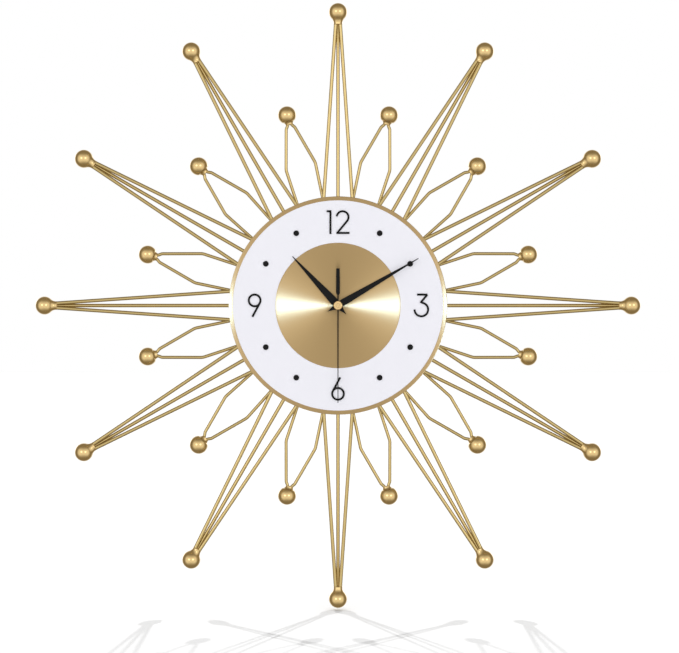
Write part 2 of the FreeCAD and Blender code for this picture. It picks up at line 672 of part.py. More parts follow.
def build_blade(name, width, length, depth, tube_radius, clock_angle):
    """A tapered hand with a pointed barb behind the axis, on a collet over its tube."""
    body = new_body(name)
    half, tip = size(width) / 2, size("hand_tip_width") / 2
    shoulder, tail = size("hand_shoulder_radius"), size("hand_tail_length")
    waist = size("hand_boss_radius")
    blade = new_sketch(body, "XZ_Plane", "blade_outline", depth)
    root = half * BLADE_ROOT_SHARE
    outline(blade, (
        (-root, 0), (root, 0), (half, shoulder), (tip, size(length)),
        (-tip, size(length)), (-half, shoulder),
    ))
    pad(body, blade, "blade", "hand_thickness")
    soften(body, "Chamfer", "hand_bevel", depth + size("hand_thickness"))
    barb = new_sketch(body, "XZ_Plane", "barb_outline", depth)
    rim, point = FreeCAD.Vector(waist * BARB_CORNER_SHARE, 0, 0), FreeCAD.Vector(0, -tail, 0)
    for side in (-1, 1):
        bow = FreeCAD.Vector(side * waist * BARB_BOW_SHARE, -tail / 2, 0)
        barb.addGeometry(Part.Arc(rim * side, bow, point), False)
    barb.addGeometry(Part.LineSegment(rim * -1, rim), False)
    pad(body, barb, "barb", "hand_thickness")
    boss = new_sketch(body, "XZ_Plane", "boss_outline", depth)
    circle(boss, "hand_boss_radius")
    pad(body, boss, "boss", "hand_thickness")
    collet = new_sketch(body, "XZ_Plane", "collet_outline", depth - size("collet_length"))
    hole_circle(collet, tube_radius + size("collet_wall"))
    pad(body, collet, "collet", "collet_length")
    bore = new_sketch(body, "XZ_Plane", "bore_outline", depth + size("hand_thickness"))
    hole_circle(bore, tube_radius)
    cut = body.newObject("PartDesign::Pocket", f"{name}_bore")
    cut.Profile = bore
    cut.Type = "ThroughAll"
    body.Placement = FreeCAD.Placement(FreeCAD.Vector(), FreeCAD.Rotation(AXIS_Y, clock_angle))
    return node(body, name)


def build_second_hand():
    """A needle that points down, with a bar-shaped counterweight above the axis."""
    body = new_body("second_hand")
    needle, tip = size("second_hand_width") / 2, size("hand_tip_width") / 2
    bar = size("counterweight_width") / 2
    near, far = size("counterweight_start"), size("counterweight_end")
    blade = new_sketch(body, "XZ_Plane", "outline", second_hand_depth)
    outline(blade, (
        (-tip, -size("second_hand_length")), (tip, -size("second_hand_length")),
        (needle, 0), (needle, near - bar), (bar, near), (bar * BLADE_ROOT_SHARE, far),
        (-bar * BLADE_ROOT_SHARE, far), (-bar, near), (-needle, near - bar), (-needle, 0),
    ))
    pad(body, blade, "blade", "second_hand_thickness")
    boss = new_sketch(body, "XZ_Plane", "boss_outline", second_hand_depth)
    hole_circle(boss, size("cap_radius") - size("second_hand_width"))
    pad(body, boss, "boss", "second_hand_thickness")
    start = minute_hand_depth + size("hand_thickness") + LAYER_GAP
    collet = new_sketch(body, "XZ_Plane", "collet_outline", start)
    hole_circle(collet, size("second_arbor_radius") + size("collet_wall"))
    pad(body, collet, "collet", length=second_hand_depth - start)
    bore = new_sketch(body, "XZ_Plane", "bore_outline", second_hand_front)
    circle(bore, "second_arbor_radius")
    cut = body.newObject("PartDesign::Pocket", "second_hand_bore")
    cut.Profile = bore
    cut.Type = "ThroughAll"
    node(body, "second_hand")


def build_cap():
    """Turned gold cap over the end of the second arbor, with a raised middle."""
    body = new_body("second_hand_cap")
    bore, rim = size("second_arbor_radius"), size("cap_radius")
    button, top = size("cap_button_radius"), cap_front + size("cap_button_height")
    bevel = size("cap_button_bevel")
    middle = second_hand_front + size("cap_thickness") / 2
    turn_profile(body, (
        (bore, second_hand_front), (rim, second_hand_front), (rim, middle),
        (rim - size("cap_bevel"), cap_front), (button, cap_front), (button, top - bevel),
        (button - bevel, top), (0, top), (0, middle), (bore, middle),
    ))
    node(body, "second_hand_cap")


HOUR_HAND_ANGLE = -42.9
MINUTE_HAND_ANGLE = 59.7


def build_hands():
    """The three hands and the cap."""
    build_blade("hour_hand", "hour_hand_width", "hour_hand_length", hour_hand_depth,
                hour_tube_radius, HOUR_HAND_ANGLE)
    build_blade("minute_hand", "minute_hand_width", "minute_hand_length", minute_hand_depth,
                size("minute_tube_radius"), MINUTE_HAND_ANGLE)
    build_second_hand()
    build_cap()


# --- movement: case and fixings ------------------------------------------------------------------

POST_RADIUS = 1.2
THIRD_POST_START = 11.0
INTERMEDIATE_POST_START = 6.0
ROTOR_POST_START = 9.6
BOARD_REAR, BOARD_THICKNESS = 4.0, 0.8
STATOR_REAR = 6.6
BOARD_POSTS = ((-23.5, 22.4), (5.0, 22.4))
STATOR_POSTS = ((18.4, 20.0), (18.4, -9.0))
stator_front = STATOR_REAR + size("stator_thickness")
cup_floor = size("knob_depth") + size("knob_thickness") + size("knob_floor_gap")
cup_top = cup_floor + size("cup_floor_thickness")


def build_front_case():
    """The tray that holds the wheels and the battery bay, open to the rear."""
    body = new_body("front_case")
    running = size("running_clearance")
    front = new_sketch(body, "XZ_Plane", "front_outline", cavity_front)
    rounded_square(front, case_half, size("case_corner"))
    circle(front, "bushing_radius")
    hole_circle(front, size("pivot_radius") + running, setting_axis)
    pad(body, front, "front_wall", "case_front_wall")
    walls = new_sketch(body, "XZ_Plane", "walls_outline", cover_front)
    rounded_square(walls, case_half, size("case_corner"))
    rounded_square(walls, inner_half, size("case_corner") - size("case_wall"))
    pad(body, walls, "walls", length=cavity_front - cover_front)
    bay = new_sketch(body, "XZ_Plane", "bay_outline", cover_front)
    rectangle(bay, -inner_half, bay_wall_bottom, inner_half, bay_wall_bottom + size("bay_wall"))
    pad(body, bay, "bay_wall", length=cavity_front - cover_front)
    arbor_hole, pivot_hole = size("arbor_radius") + running, size("pivot_radius") + running
    bearings = (
        ("third", third_axis, THIRD_POST_START, arbor_hole),
        ("intermediate", intermediate_axis, INTERMEDIATE_POST_START, pivot_hole),
        ("rotor", rotor_axis, ROTOR_POST_START, pivot_hole),
    )
    for name, axis, start, bore in bearings:
        post = new_sketch(body, "XZ_Plane", f"{name}_post_outline", start)
        hole_circle(post, POST_RADIUS, axis)
        hole_circle(post, bore, axis)
        pad(body, post, f"{name}_post", length=cavity_front - start)
    board_front = BOARD_REAR + BOARD_THICKNESS
    for start, spots, name in (
        (board_front, BOARD_POSTS, "board"), (stator_front, STATOR_POSTS, "stator"),
    ):
        post = new_sketch(body, "XZ_Plane", f"{name}_posts_outline", start)
        for spot in spots:
            hole_circle(post, POST_RADIUS, spot)
        pad(body, post, f"{name}_posts", length=cavity_front - start)
    seat = new_sketch(body, "XZ_Plane", "hanger_seat_outline",
                      cover_front + size("hanger_thickness"))
    half, margin = size("hanger_neck_width") / 2, size("hanger_seat_margin")
    rectangle(seat, -half, inner_half - margin, half, case_half + margin)
    cut = body.newObject("PartDesign::Pocket", "front_case_hanger_seat")
    cut.Profile = seat
    bind(cut, "Length", "hanger_thickness")
    node(body, "front_case")


def build_back_case():
    """The rear cover, with the battery opening, the knob's cup and the rear pivots."""
    body = new_body("back_case")
    cup_inner = size("knob_radius") + size("knob_clearance")
    cup_outer = cup_inner + size("cup_wall")
    cover = new_sketch(body, "XZ_Plane", "cover_outline", 0.0)
    rounded_square(cover, case_half, size("case_corner"))
    hole_circle(cover, cup_inner, setting_axis)
    half = size("battery_length") / 2 + size("battery_end_gap")
    tall = size("battery_radius") + size("battery_opening_gap")
    rectangle(cover, -half, -battery_drop - tall, half, -battery_drop + tall)
    pad(body, cover, "cover", "cover_thickness")
    running = size("running_clearance")
    cup = new_sketch(body, "XZ_Plane", "cup_outline", cover_front)
    hole_circle(cup, cup_outer, setting_axis)
    hole_circle(cup, cup_inner, setting_axis)
    pad(body, cup, "cup", length=cup_top - cover_front)
    floor = new_sketch(body, "XZ_Plane", "cup_floor_outline", cup_floor)
    hole_circle(floor, cup_outer, setting_axis)
    hole_circle(floor, size("arbor_radius") + running, setting_axis)
    pad(body, floor, "cup_floor", length=cup_top - cup_floor)
    pivots = new_sketch(body, "XZ_Plane", "pivots_outline", cover_front)
    for axis in ((0.0, 0.0), third_axis, intermediate_axis, rotor_axis):
        hole_circle(pivots, size("pivot_radius") + running, axis)
    cut = body.newObject("PartDesign::Pocket", "back_case_pivots")
    cut.Profile = pivots
    cut.Length = cover_front - size("pivot_floor")
    node(body, "back_case")


def build_fixings():
    """The threaded bushing with its nut, and the rubber washer between case and back disc."""
    bore = hour_tube_radius + size("running_clearance")
    bushing = new_body("threaded_bushing")
    nut_front = back_disc_front + size("nut_thickness")
    flange_rear = cavity_front - size("bushing_flange")
    stepped(bushing, (
        (size("bushing_flange_radius"), flange_rear, cavity_front),
        (size("bushing_radius"), cavity_front, nut_front + size("bushing_end")),
    ), bore)
    node(bushing, "threaded_bushing")
    nut = new_body("bushing_nut")
    sketch = new_sketch(nut, "XZ_Plane", "outline", back_disc_front)
    corner = size("nut_width") / 2 / math.cos(math.radians(30))
    outline(sketch, [polar(corner, 60 * index) for index in range(6)])
    circle(sketch, "bushing_radius")
    pad(nut, sketch, "nut", "nut_thickness")
    node(nut, "bushing_nut")
    build_disc("rubber_washer", "washer_radius", "bushing_radius", case_front, "washer_thickness")


def build_hanger():
    """A steel plate, T-shaped inside the case, with a keyhole above it for the wall screw."""
    body = new_body("hanger")
    sketch = new_sketch(body, "XZ_Plane", "outline", cover_front)
    foot, neck = size("hanger_foot_width") / 2, size("hanger_neck_width") / 2
    low, shoulder = inner_half - size("hanger_foot_height"), inner_half
    hole, height = size("hanger_hole_radius"), size("hanger_hole_height")
    top = height + 2 * hole
    crown = neck - hole
    outline(sketch, (
        (-foot, low), (foot, low), (foot, shoulder), (neck, shoulder), (neck, top - hole),
        (crown, top), (-crown, top), (-neck, top - hole), (-neck, shoulder), (-foot, shoulder),
    ))
    circle(sketch, "hanger_hole_radius", (0.0, height))
    pad(body, sketch, "plate", "hanger_thickness")
    slot = new_sketch(body, "XZ_Plane", "slot_outline", cover_front + size("hanger_thickness"))
    half = size("hanger_slot_half_width")
    rectangle(slot, -half, height, half, height + size("hanger_slot_length"))
    cut = body.newObject("PartDesign::Pocket", "hanger_slot")
    cut.Profile = slot
    cut.Type = "ThroughAll"
    node(body, "hanger")


def build_battery():
    """AA cell lying across the bay, its button to the right as seen from the front."""
    body = new_body("battery")
    sketch = new_sketch(body, "XZ_Plane", "profile", battery_depth)
    half, radius = size("battery_length") / 2, size("battery_radius")
    shoulder, button = half - size("battery_button_length"), size("battery_button_radius")
    round_off = size("battery_round")
    outline(sketch, (
        (-half, 0), (-half, radius - round_off), (-half + round_off, radius),
        (shoulder - round_off, radius), (shoulder, radius - round_off),
        (shoulder, button), (half, button), (half, 0),
    ))
    feature = body.newObject("PartDesign::Revolution", "battery_cell")
    feature.Profile = sketch
    feature.ReferenceAxis = (sketch, ["H_Axis"])
    feature.Angle = 360
    place(body, (0.0, -battery_drop))
    node(body, "battery")


def build_contact(name, side):
    """A folded spring strip between the bay's end wall and the cell."""
    body = new_body(name)
    strip = size("contact_thickness")
    near = size("battery_length") / 2 + size("contact_gap")
    middle, reach, short = -battery_drop, size("contact_reach"), size("contact_short_reach")
    sketch = new_sketch(body, "XZ_Plane", "outline", battery_depth - size("contact_width") / 2)
    outline(sketch, [(side * x, z) for x, z in (
        (near, middle - reach), (inner_half, middle - reach), (inner_half, middle + reach),
        (inner_half - strip, middle + reach), (inner_half - strip, middle - reach + strip),
        (near + strip, middle - reach + strip), (near + strip, middle + short),
        (near, middle + short),
    )])
    pad(body, sketch, "strip", "contact_width")
    node(body, name)


# --- movement: electrics -------------------------------------------------------------------------

STATOR_MARGIN = 0.55
COIL_LEG_WIDTH = 2.2
COIL_FLANGE_RADIUS = 2.9
COIL_TUBE_RADIUS = 1.6
COIL_LOW, COIL_HIGH = -5.0, 19.5
COIL_FLANGE = 1.0
COIL_WALL_GAP = 0.05
WINDING_INSET = 0.2
STATOR_LOW, STATOR_HIGH, STATOR_TAB = -10.5, 24.8, 2.4
BOARD_WALL_GAP, BOARD_RIGHT = 1.0, 9.0
BOARD_LOW, BOARD_HIGH = 18.8, 22.7
CRYSTAL_RADIUS, CRYSTAL_LENGTH, CRYSTAL_START = 1.0, 6.0, (-12.0, 20.6)
coil_x = inner_half - COIL_FLANGE_RADIUS - COIL_WALL_GAP


def build_stator():
    """Stator sheet: a pole bar round the rotor and a leg that carries the coil."""
    body = new_body("stator")
    gap = size("rotor_magnet_radius") + size("rotor_air_gap")
    left = rotor_axis[0] - gap - STATOR_MARGIN
    right = rotor_axis[0] + gap + STATOR_MARGIN
    leg = coil_x + COIL_LEG_WIDTH / 2
    sketch = new_sketch(body, "XZ_Plane", "outline", STATOR_REAR)
    rectangle(sketch, left, STATOR_LOW, leg, STATOR_HIGH)
    rectangle(sketch, right, STATOR_LOW + STATOR_TAB, leg - COIL_LEG_WIDTH,
              STATOR_HIGH - STATOR_TAB)
    hole_circle(sketch, gap, rotor_axis)
    pad(body, sketch, "sheet", "stator_thickness")
    node(body, "stator")


def revolve_upright(body, points, name):
    """Revolve an outline of (radius, height) points about the body's own Z axis."""
    sketch = new_sketch(body, "XZ_Plane", f"{name}_profile")
    outline(sketch, points)
    feature = body.newObject("PartDesign::Revolution", f"{body.Name}_{name}")
    feature.Profile = sketch
    feature.ReferenceAxis = (sketch, ["V_Axis"])
    feature.Angle = 360


def build_coil():
    """The coil: a bobbin on the stator's leg, and its copper winding."""
    middle = STATOR_REAR + size("stator_thickness") / 2
    centre = FreeCAD.Placement(FreeCAD.Vector(coil_x, -middle, 0), FreeCAD.Rotation())
    bobbin = new_body("coil_bobbin")
    tube, rim = COIL_TUBE_RADIUS, COIL_FLANGE_RADIUS
    low, high = COIL_LOW, COIL_HIGH
    revolve_upright(bobbin, (
        (0, low), (rim, low), (rim, low + COIL_FLANGE), (tube, low + COIL_FLANGE),
        (tube, high - COIL_FLANGE), (rim, high - COIL_FLANGE), (rim, high), (0, high),
    ), "spool")
    window = new_sketch(bobbin, "XY_Plane", "window_outline", high)
    half, thick = COIL_LEG_WIDTH / 2, size("stator_thickness") / 2
    rectangle(window, -half, -thick, half, thick)
    cut = bobbin.newObject("PartDesign::Pocket", "coil_bobbin_window")
    cut.Profile = window
    cut.Type = "ThroughAll"
    bobbin.Placement = centre
    node(bobbin, "coil_bobbin")
    winding = new_body("coil_winding")
    outer = rim - WINDING_INSET
    revolve_upright(winding, (
        (tube, low + COIL_FLANGE), (outer, low + COIL_FLANGE),
        (outer, high - COIL_FLANGE), (tube, high - COIL_FLANGE),
    ), "turns")
    winding.Placement = centre
    node(winding, "coil_winding")


def build_board():
    """Circuit board on its two posts, with the tuning-fork crystal's can lying on it."""
    board = new_body("circuit_board")
    sketch = new_sketch(board, "XZ_Plane", "outline", BOARD_REAR)
    rectangle(sketch, BOARD_WALL_GAP - inner_half, BOARD_LOW, BOARD_RIGHT, BOARD_HIGH)
    pad(board, sketch, "sheet", length=BOARD_THICKNESS)
    node(board, "circuit_board")
    crystal = doc.addObject("Part::Cylinder", "quartz_crystal")
    crystal.Radius = CRYSTAL_RADIUS
    crystal.Height = CRYSTAL_LENGTH
    crystal.Placement = FreeCAD.Placement(
        FreeCAD.Vector(CRYSTAL_START[0], CRYSTAL_RADIUS - BOARD_REAR, CRYSTAL_START[1]),
        FreeCAD.Rotation(AXIS_Y, 90),
    )
    node(crystal, "quartz_crystal")


# --- movement: wheels ----------------------------------------------------------------------------

PRESSURE_ANGLE = math.radians(20)
FLANK_STEPS = 3


def involute(angle):
    """The involute function of an angle in radians."""
    return math.tan(angle) - angle


def tooth_half_angle(radius, pitch_radius, at_pitch):
    """Half the angle that an involute tooth fills at a radius."""
    base = pitch_radius * math.cos(PRESSURE_ANGLE)
    if radius <= base:
        return at_pitch + involute(PRESSURE_ANGLE)
    return at_pitch + involute(PRESSURE_ANGLE) - involute(math.acos(base / radius))


def gear_outline(teeth, module, is_pinion, phase):
    """Points of a gear's outline; phase is the clock angle of one tooth's middle, in radians."""
    pitch_radius = teeth * module / 2
    own, mate = PINION_ADDENDUM, WHEEL_ADDENDUM
    if not is_pinion:
        own, mate = mate, own
    tip, root = pitch_radius + own * module, pitch_radius - (mate + ROOT_GAP) * module
    at_pitch = math.pi / (2 * teeth) - size("tooth_thinning") / 2 / pitch_radius
    radii = [root + (tip - root) * step / FLANK_STEPS for step in range(FLANK_STEPS + 1)]
    flank = [(radius, tooth_half_angle(radius, pitch_radius, at_pitch)) for radius in radii]
    points = []
    for tooth in range(teeth):
        middle = phase + 2 * math.pi * tooth / teeth
        sides = [(r, middle - a) for r, a in flank] + [(r, middle + a) for r, a in flank[::-1]]
        points += [(r * math.sin(a), r * math.cos(a)) for r, a in sides]
    return points


def mated_phase(teeth, mate_teeth, mate_phase, mate_axis, axis):
    """Phase at which a gear's gap meets the mating gear's tooth on the line of centres."""
    towards = math.atan2(axis[0] - mate_axis[0], axis[1] - mate_axis[1])
    share = (towards - mate_phase) * mate_teeth / (2 * math.pi)
    return towards + math.pi - (0.5 - share) * 2 * math.pi / teeth


def add_gear(body, name, teeth, module, is_pinion, phase, start, thickness):
    """Raise a toothed wheel or pinion on a body."""
    sketch = new_sketch(body, "XZ_Plane", f"{name}_outline", start)
    outline(sketch, gear_outline(teeth, module, is_pinion, phase))
    pad(body, sketch, name, length=thickness)


def bore_through(body, alias, clearance):
    """Bore a body along its own axis."""
    sketch = new_sketch(body, "XZ_Plane", "bore_outline", cap_front)
    hole_circle(sketch, size(alias) + clearance)
    cut = body.newObject("PartDesign::Pocket", f"{body.Name}_bore")
    cut.Profile = sketch
    cut.Type = "ThroughAll"


# Rear faces of the layers that the wheels lie in.
INTERMEDIATE_LAYER, SECOND_LAYER, THIRD_LAYER = 2.6, 4.0, 5.8
CENTRE_LAYER, SETTING_LAYER, HOUR_LAYER = 9.0, 11.4, 14.0
PIVOT_END_GAP, SHOULDER_GAP = 0.2, 0.2
POST_PIVOT_LENGTH, THIRD_PIVOT_LENGTH = 1.5, 2.0
MAGNET_REACH = 1.0
MINUTE_TUBE_REAR, CANNON_GAP = 0.6, 0.8
SETTING_SHOULDER_GAP = 0.4
CENTRE = (0.0, 0.0)

wheel = size("gear_thickness")
pivot, arbor, running = size("pivot_radius"), size("arbor_radius"), size("running_clearance")
pivot_end, pivot_start = size("pivot_floor") + PIVOT_END_GAP, cover_front + SHOULDER_GAP


def layer_end(layer):
    """Depth just in front of the wheel of a layer, where a pinion on the same arbor may end."""
    return layer + wheel + LAYER_GAP


def build_second_wheel():
    body = new_body("second_wheel")
    stepped(body, (
        (pivot, pivot_end, pivot_start),
        (size("second_arbor_radius"), pivot_start, second_hand_front + size("cap_thickness") / 2),
    ))
    add_gear(body, "wheel", SECOND_WHEEL, second_module, False, 0.0, SECOND_LAYER, wheel)
    third_module = pair_module("going_centres", SECOND_PINION, THIRD_WHEEL)
    start = SECOND_LAYER + wheel
    add_gear(body, "pinion", SECOND_PINION, third_module, True, 0.0, start,
             layer_end(THIRD_LAYER) - start)
    node(body, "second_wheel")


def build_third_wheel():
    phase = mated_phase(THIRD_WHEEL, SECOND_PINION, 0.0, CENTRE, third_axis)
    body = new_body("third_wheel")
    front = THIRD_POST_START + THIRD_PIVOT_LENGTH
    stepped(body, ((pivot, pivot_end, pivot_start), (arbor, pivot_start, front)))
    third_module = pair_module("going_centres", SECOND_PINION, THIRD_WHEEL)
    add_gear(body, "wheel", THIRD_WHEEL, third_module, False, phase, THIRD_LAYER, wheel)
    centre_module = pair_module("going_centres", THIRD_PINION, CENTRE_WHEEL)
    start = THIRD_LAYER + wheel
    add_gear(body, "pinion", THIRD_PINION, centre_module, True, 0.0, start,
             layer_end(CENTRE_LAYER) - start)
    place(body, third_axis)
    node(body, "third_wheel")


def build_centre_wheel():
    phase = mated_phase(CENTRE_WHEEL, THIRD_PINION, 0.0, third_axis, CENTRE)
    body = new_body("centre_wheel")
    module = pair_module("going_centres", THIRD_PINION, CENTRE_WHEEL)
    add_gear(body, "wheel", CENTRE_WHEEL, module, False, phase, CENTRE_LAYER, wheel)
    bore_through(body, "minute_tube_radius", 0.0)
    node(body, "centre_wheel")


def build_minute_arbor():
    """The tube of the minute hand, with the cannon pinion on it."""
    body = new_body("minute_arbor")
    front = minute_hand_depth + size("hand_thickness")
    stepped(body, ((size("minute_tube_radius"), CENTRE_LAYER - MINUTE_TUBE_REAR, front),),
            size("second_arbor_radius") + running)
    module = pair_module("setting_centres", CANNON_PINION, SETTING_WHEEL)
    start = CENTRE_LAYER + wheel + CANNON_GAP
    add_gear(body, "cannon_pinion", CANNON_PINION, module, True, 0.0, start,
             layer_end(SETTING_LAYER) - start)
    bore_through(body, "second_arbor_radius", running)
    node(body, "minute_arbor")


def build_minute_wheel():
    """The setting arbor: knob, wheel on the cannon pinion, pinion on the hour wheel."""
    phase = mated_phase(SETTING_WHEEL, CANNON_PINION, 0.0, CENTRE, setting_axis)
    body = new_body("minute_wheel")
    knob_end = size("knob_depth") + size("knob_thickness")
    front = HOUR_LAYER + wheel + SETTING_SHOULDER_GAP
    stepped(body, (
        (size("knob_radius"), size("knob_depth"), knob_end), (arbor, knob_end, front),
        (pivot, front, case_front - PIVOT_END_GAP),
    ))
    wheel_module = pair_module("setting_centres", CANNON_PINION, SETTING_WHEEL)
    add_gear(body, "wheel", SETTING_WHEEL, wheel_module, False, phase, SETTING_LAYER, wheel)
    pinion_module = pair_module("setting_centres", SETTING_PINION, HOUR_WHEEL)
    start = SETTING_LAYER + wheel
    add_gear(body, "pinion", SETTING_PINION, pinion_module, True, 0.0, start, front - start)
    place(body, setting_axis)
    node(body, "minute_wheel")


def build_hour_wheel():
    phase = mated_phase(HOUR_WHEEL, SETTING_PINION, 0.0, setting_axis, CENTRE)
    body = new_body("hour_wheel")
    bore = size("minute_tube_radius") + running
    front = hour_hand_depth + size("hand_thickness")
    stepped(body, ((hour_tube_radius, HOUR_LAYER, front),), bore)
    module = pair_module("setting_centres", SETTING_PINION, HOUR_WHEEL)
    add_gear(body, "wheel", HOUR_WHEEL, module, False, phase, HOUR_LAYER, wheel)
    bore_through(body, "minute_tube_radius", running)
    node(body, "hour_wheel")


def build_intermediate_wheel():
    phase = mated_phase(INTERMEDIATE_PINION, SECOND_WHEEL, 0.0, CENTRE, intermediate_axis)
    body = new_body("intermediate_wheel")
    shoulder = layer_end(SECOND_LAYER)
    stepped(body, (
        (pivot, pivot_end, pivot_start), (arbor, pivot_start, shoulder),
        (pivot, shoulder, INTERMEDIATE_POST_START + POST_PIVOT_LENGTH),
    ))
    module = pair_module("rotor_centres", ROTOR_PINION, INTERMEDIATE_WHEEL)
    add_gear(body, "wheel", INTERMEDIATE_WHEEL, module, False, 0.0, INTERMEDIATE_LAYER, wheel)
    start = INTERMEDIATE_LAYER + wheel
    add_gear(body, "pinion", INTERMEDIATE_PINION, second_module, True, phase, start,
             shoulder - start)
    place(body, intermediate_axis)
    node(body, "intermediate_wheel")


def build_rotor():
    """The motor's magnet on its arbor, with the first pinion of the train."""
    phase = mated_phase(ROTOR_PINION, INTERMEDIATE_WHEEL, 0.0, intermediate_axis, rotor_axis)
    body = new_body("rotor")
    magnet_rear, magnet_front = STATOR_REAR - MAGNET_REACH, stator_front + MAGNET_REACH
    stepped(body, (
        (pivot, pivot_end, pivot_start), (arbor, pivot_start, magnet_rear),
        (size("rotor_magnet_radius"), magnet_rear, magnet_front),
        (pivot, magnet_front, ROTOR_POST_START + POST_PIVOT_LENGTH),
    ))
    module = pair_module("rotor_centres", ROTOR_PINION, INTERMEDIATE_WHEEL)
    start = pivot_start + LAYER_GAP
    add_gear(body, "pinion", ROTOR_PINION, module, True, phase, start,
             layer_end(INTERMEDIATE_LAYER) - start)
    place(body, rotor_axis)
    node(body, "rotor")


# --- build, check and write ----------------------------------------------------------------------


def check_and_write():
    """Check every object of the document, then write one STEP file for each piece."""
    doc.recompute()
    for thing in doc.Objects:
        if "Invalid" in thing.State or "Error" in thing.State:
            raise RuntimeError(f"{thing.Label} did not build: {thing.State}")
    os.makedirs("parts", exist_ok=True)
    for thing in nodes:
        shape = thing.Shape
        if shape.isNull() or not shape.isValid() or not shape.Solids:
            raise RuntimeError(f"{thing.Label} has no valid solid")
        shape.exportStep(os.path.join("parts", f"{thing.Label}.step"))
        print(f"{thing.Label}: {len(shape.Solids)} solid(s), {shape.Volume:.1f} mm3")
    print(f"{len(nodes)} nodes")


build_sunburst()
build_dial()
build_figures()
build_hands()
build_front_case()
build_back_case()
build_fixings()
build_hanger()
build_battery()
build_contact("contact_positive", 1)
build_contact("contact_negative", -1)
build_stator()
build_coil()
build_board()
build_second_wheel()
build_third_wheel()
build_centre_wheel()
build_minute_arbor()
build_minute_wheel()
build_hour_wheel()
build_intermediate_wheel()
build_rotor()
check_and_write()
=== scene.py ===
"""Looks of the sunburst wall clock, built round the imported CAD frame.

The CAD pieces keep their shapes and get their finishes here. The balls, which have to be
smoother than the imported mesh, the weld beads and the small moulded details of the movement
are modelled as new pieces that ride on the CAD bodies.
"""

import json
import logging
import math
from dataclasses import dataclass
from enum import Enum

import bmesh
import bpy
from mathutils import Matrix, Vector


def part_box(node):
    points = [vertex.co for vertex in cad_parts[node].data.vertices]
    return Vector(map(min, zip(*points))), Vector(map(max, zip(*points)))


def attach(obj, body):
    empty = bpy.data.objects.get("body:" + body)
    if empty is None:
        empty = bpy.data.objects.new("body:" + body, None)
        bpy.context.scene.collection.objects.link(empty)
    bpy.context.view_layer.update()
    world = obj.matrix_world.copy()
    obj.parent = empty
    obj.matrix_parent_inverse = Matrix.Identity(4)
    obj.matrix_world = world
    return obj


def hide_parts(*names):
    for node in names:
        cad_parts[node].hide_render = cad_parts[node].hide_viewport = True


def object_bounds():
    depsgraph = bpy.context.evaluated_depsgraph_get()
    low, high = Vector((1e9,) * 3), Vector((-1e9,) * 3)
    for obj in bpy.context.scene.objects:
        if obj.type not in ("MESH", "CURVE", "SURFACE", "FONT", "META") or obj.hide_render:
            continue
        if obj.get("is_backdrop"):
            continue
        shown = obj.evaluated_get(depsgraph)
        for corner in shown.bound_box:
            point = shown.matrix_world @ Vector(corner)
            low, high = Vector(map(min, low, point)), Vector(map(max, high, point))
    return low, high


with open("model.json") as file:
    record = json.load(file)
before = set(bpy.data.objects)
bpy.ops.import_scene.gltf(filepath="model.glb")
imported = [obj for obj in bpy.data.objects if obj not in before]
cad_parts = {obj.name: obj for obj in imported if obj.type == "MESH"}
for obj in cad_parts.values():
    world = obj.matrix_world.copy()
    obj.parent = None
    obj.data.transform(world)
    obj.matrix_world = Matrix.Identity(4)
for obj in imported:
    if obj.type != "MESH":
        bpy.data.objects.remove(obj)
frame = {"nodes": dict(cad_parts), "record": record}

log = logging.getLogger("sunburst_clock")

COAT_ROUGHNESS = 0.08
GRAIN_DETAIL = 2.0
GROOVE_TURN = 0.25
MERGE_DISTANCE = 1e-7
EDGE_STEPS = 2


class Body(Enum):
    """CAD bodies that new pieces ride on."""

    CLOCK = "clock_body"
    KNOB = "minute_wheel_body"


class Grain(Enum):
    """What the surface of a finish carries besides its colour."""

    TURNED = "turned"
    SPECKLED = "speckled"
    WOUND = "wound"
    STRIPED = "striped"
    BANDED = "banded"


GRAIN_STRETCH = {
    Grain.SPECKLED: (1, 1, 1),
    Grain.BANDED: (1, 1, 1),
    Grain.STRIPED: (0.04, 1, 1),
    Grain.WOUND: (0.02, 0.02, 1),
}


@dataclass(frozen=True)
class Finish:
    """One finish of the clock.

    Attributes:
        slot: The record's material slot that the finish belongs to.
        colour: Linear base colour.
        second: Linear colour that the grain mixes in.
        metallic: Metallic share.
        roughness: Roughness.
        reflectance: Level of the plain reflection of a finish that isn't metallic.
        anisotropy: Stretch of the highlight across turned grooves.
        coat: Clear coat weight.
        grain: Kind of surface detail.
        grain_size: Size of the detail in metres.
        bump: Height of the detail in metres.
    """

    slot: str
    colour: tuple[float, float, float]
    second: tuple[float, float, float]
    metallic: float = 0.0
    roughness: float = 0.5
    reflectance: float = 0.5
    anisotropy: float = 0.0
    coat: float = 0.0
    grain: Grain = Grain.SPECKLED
    grain_size: float = 0.0012
    bump: float = 0.00001


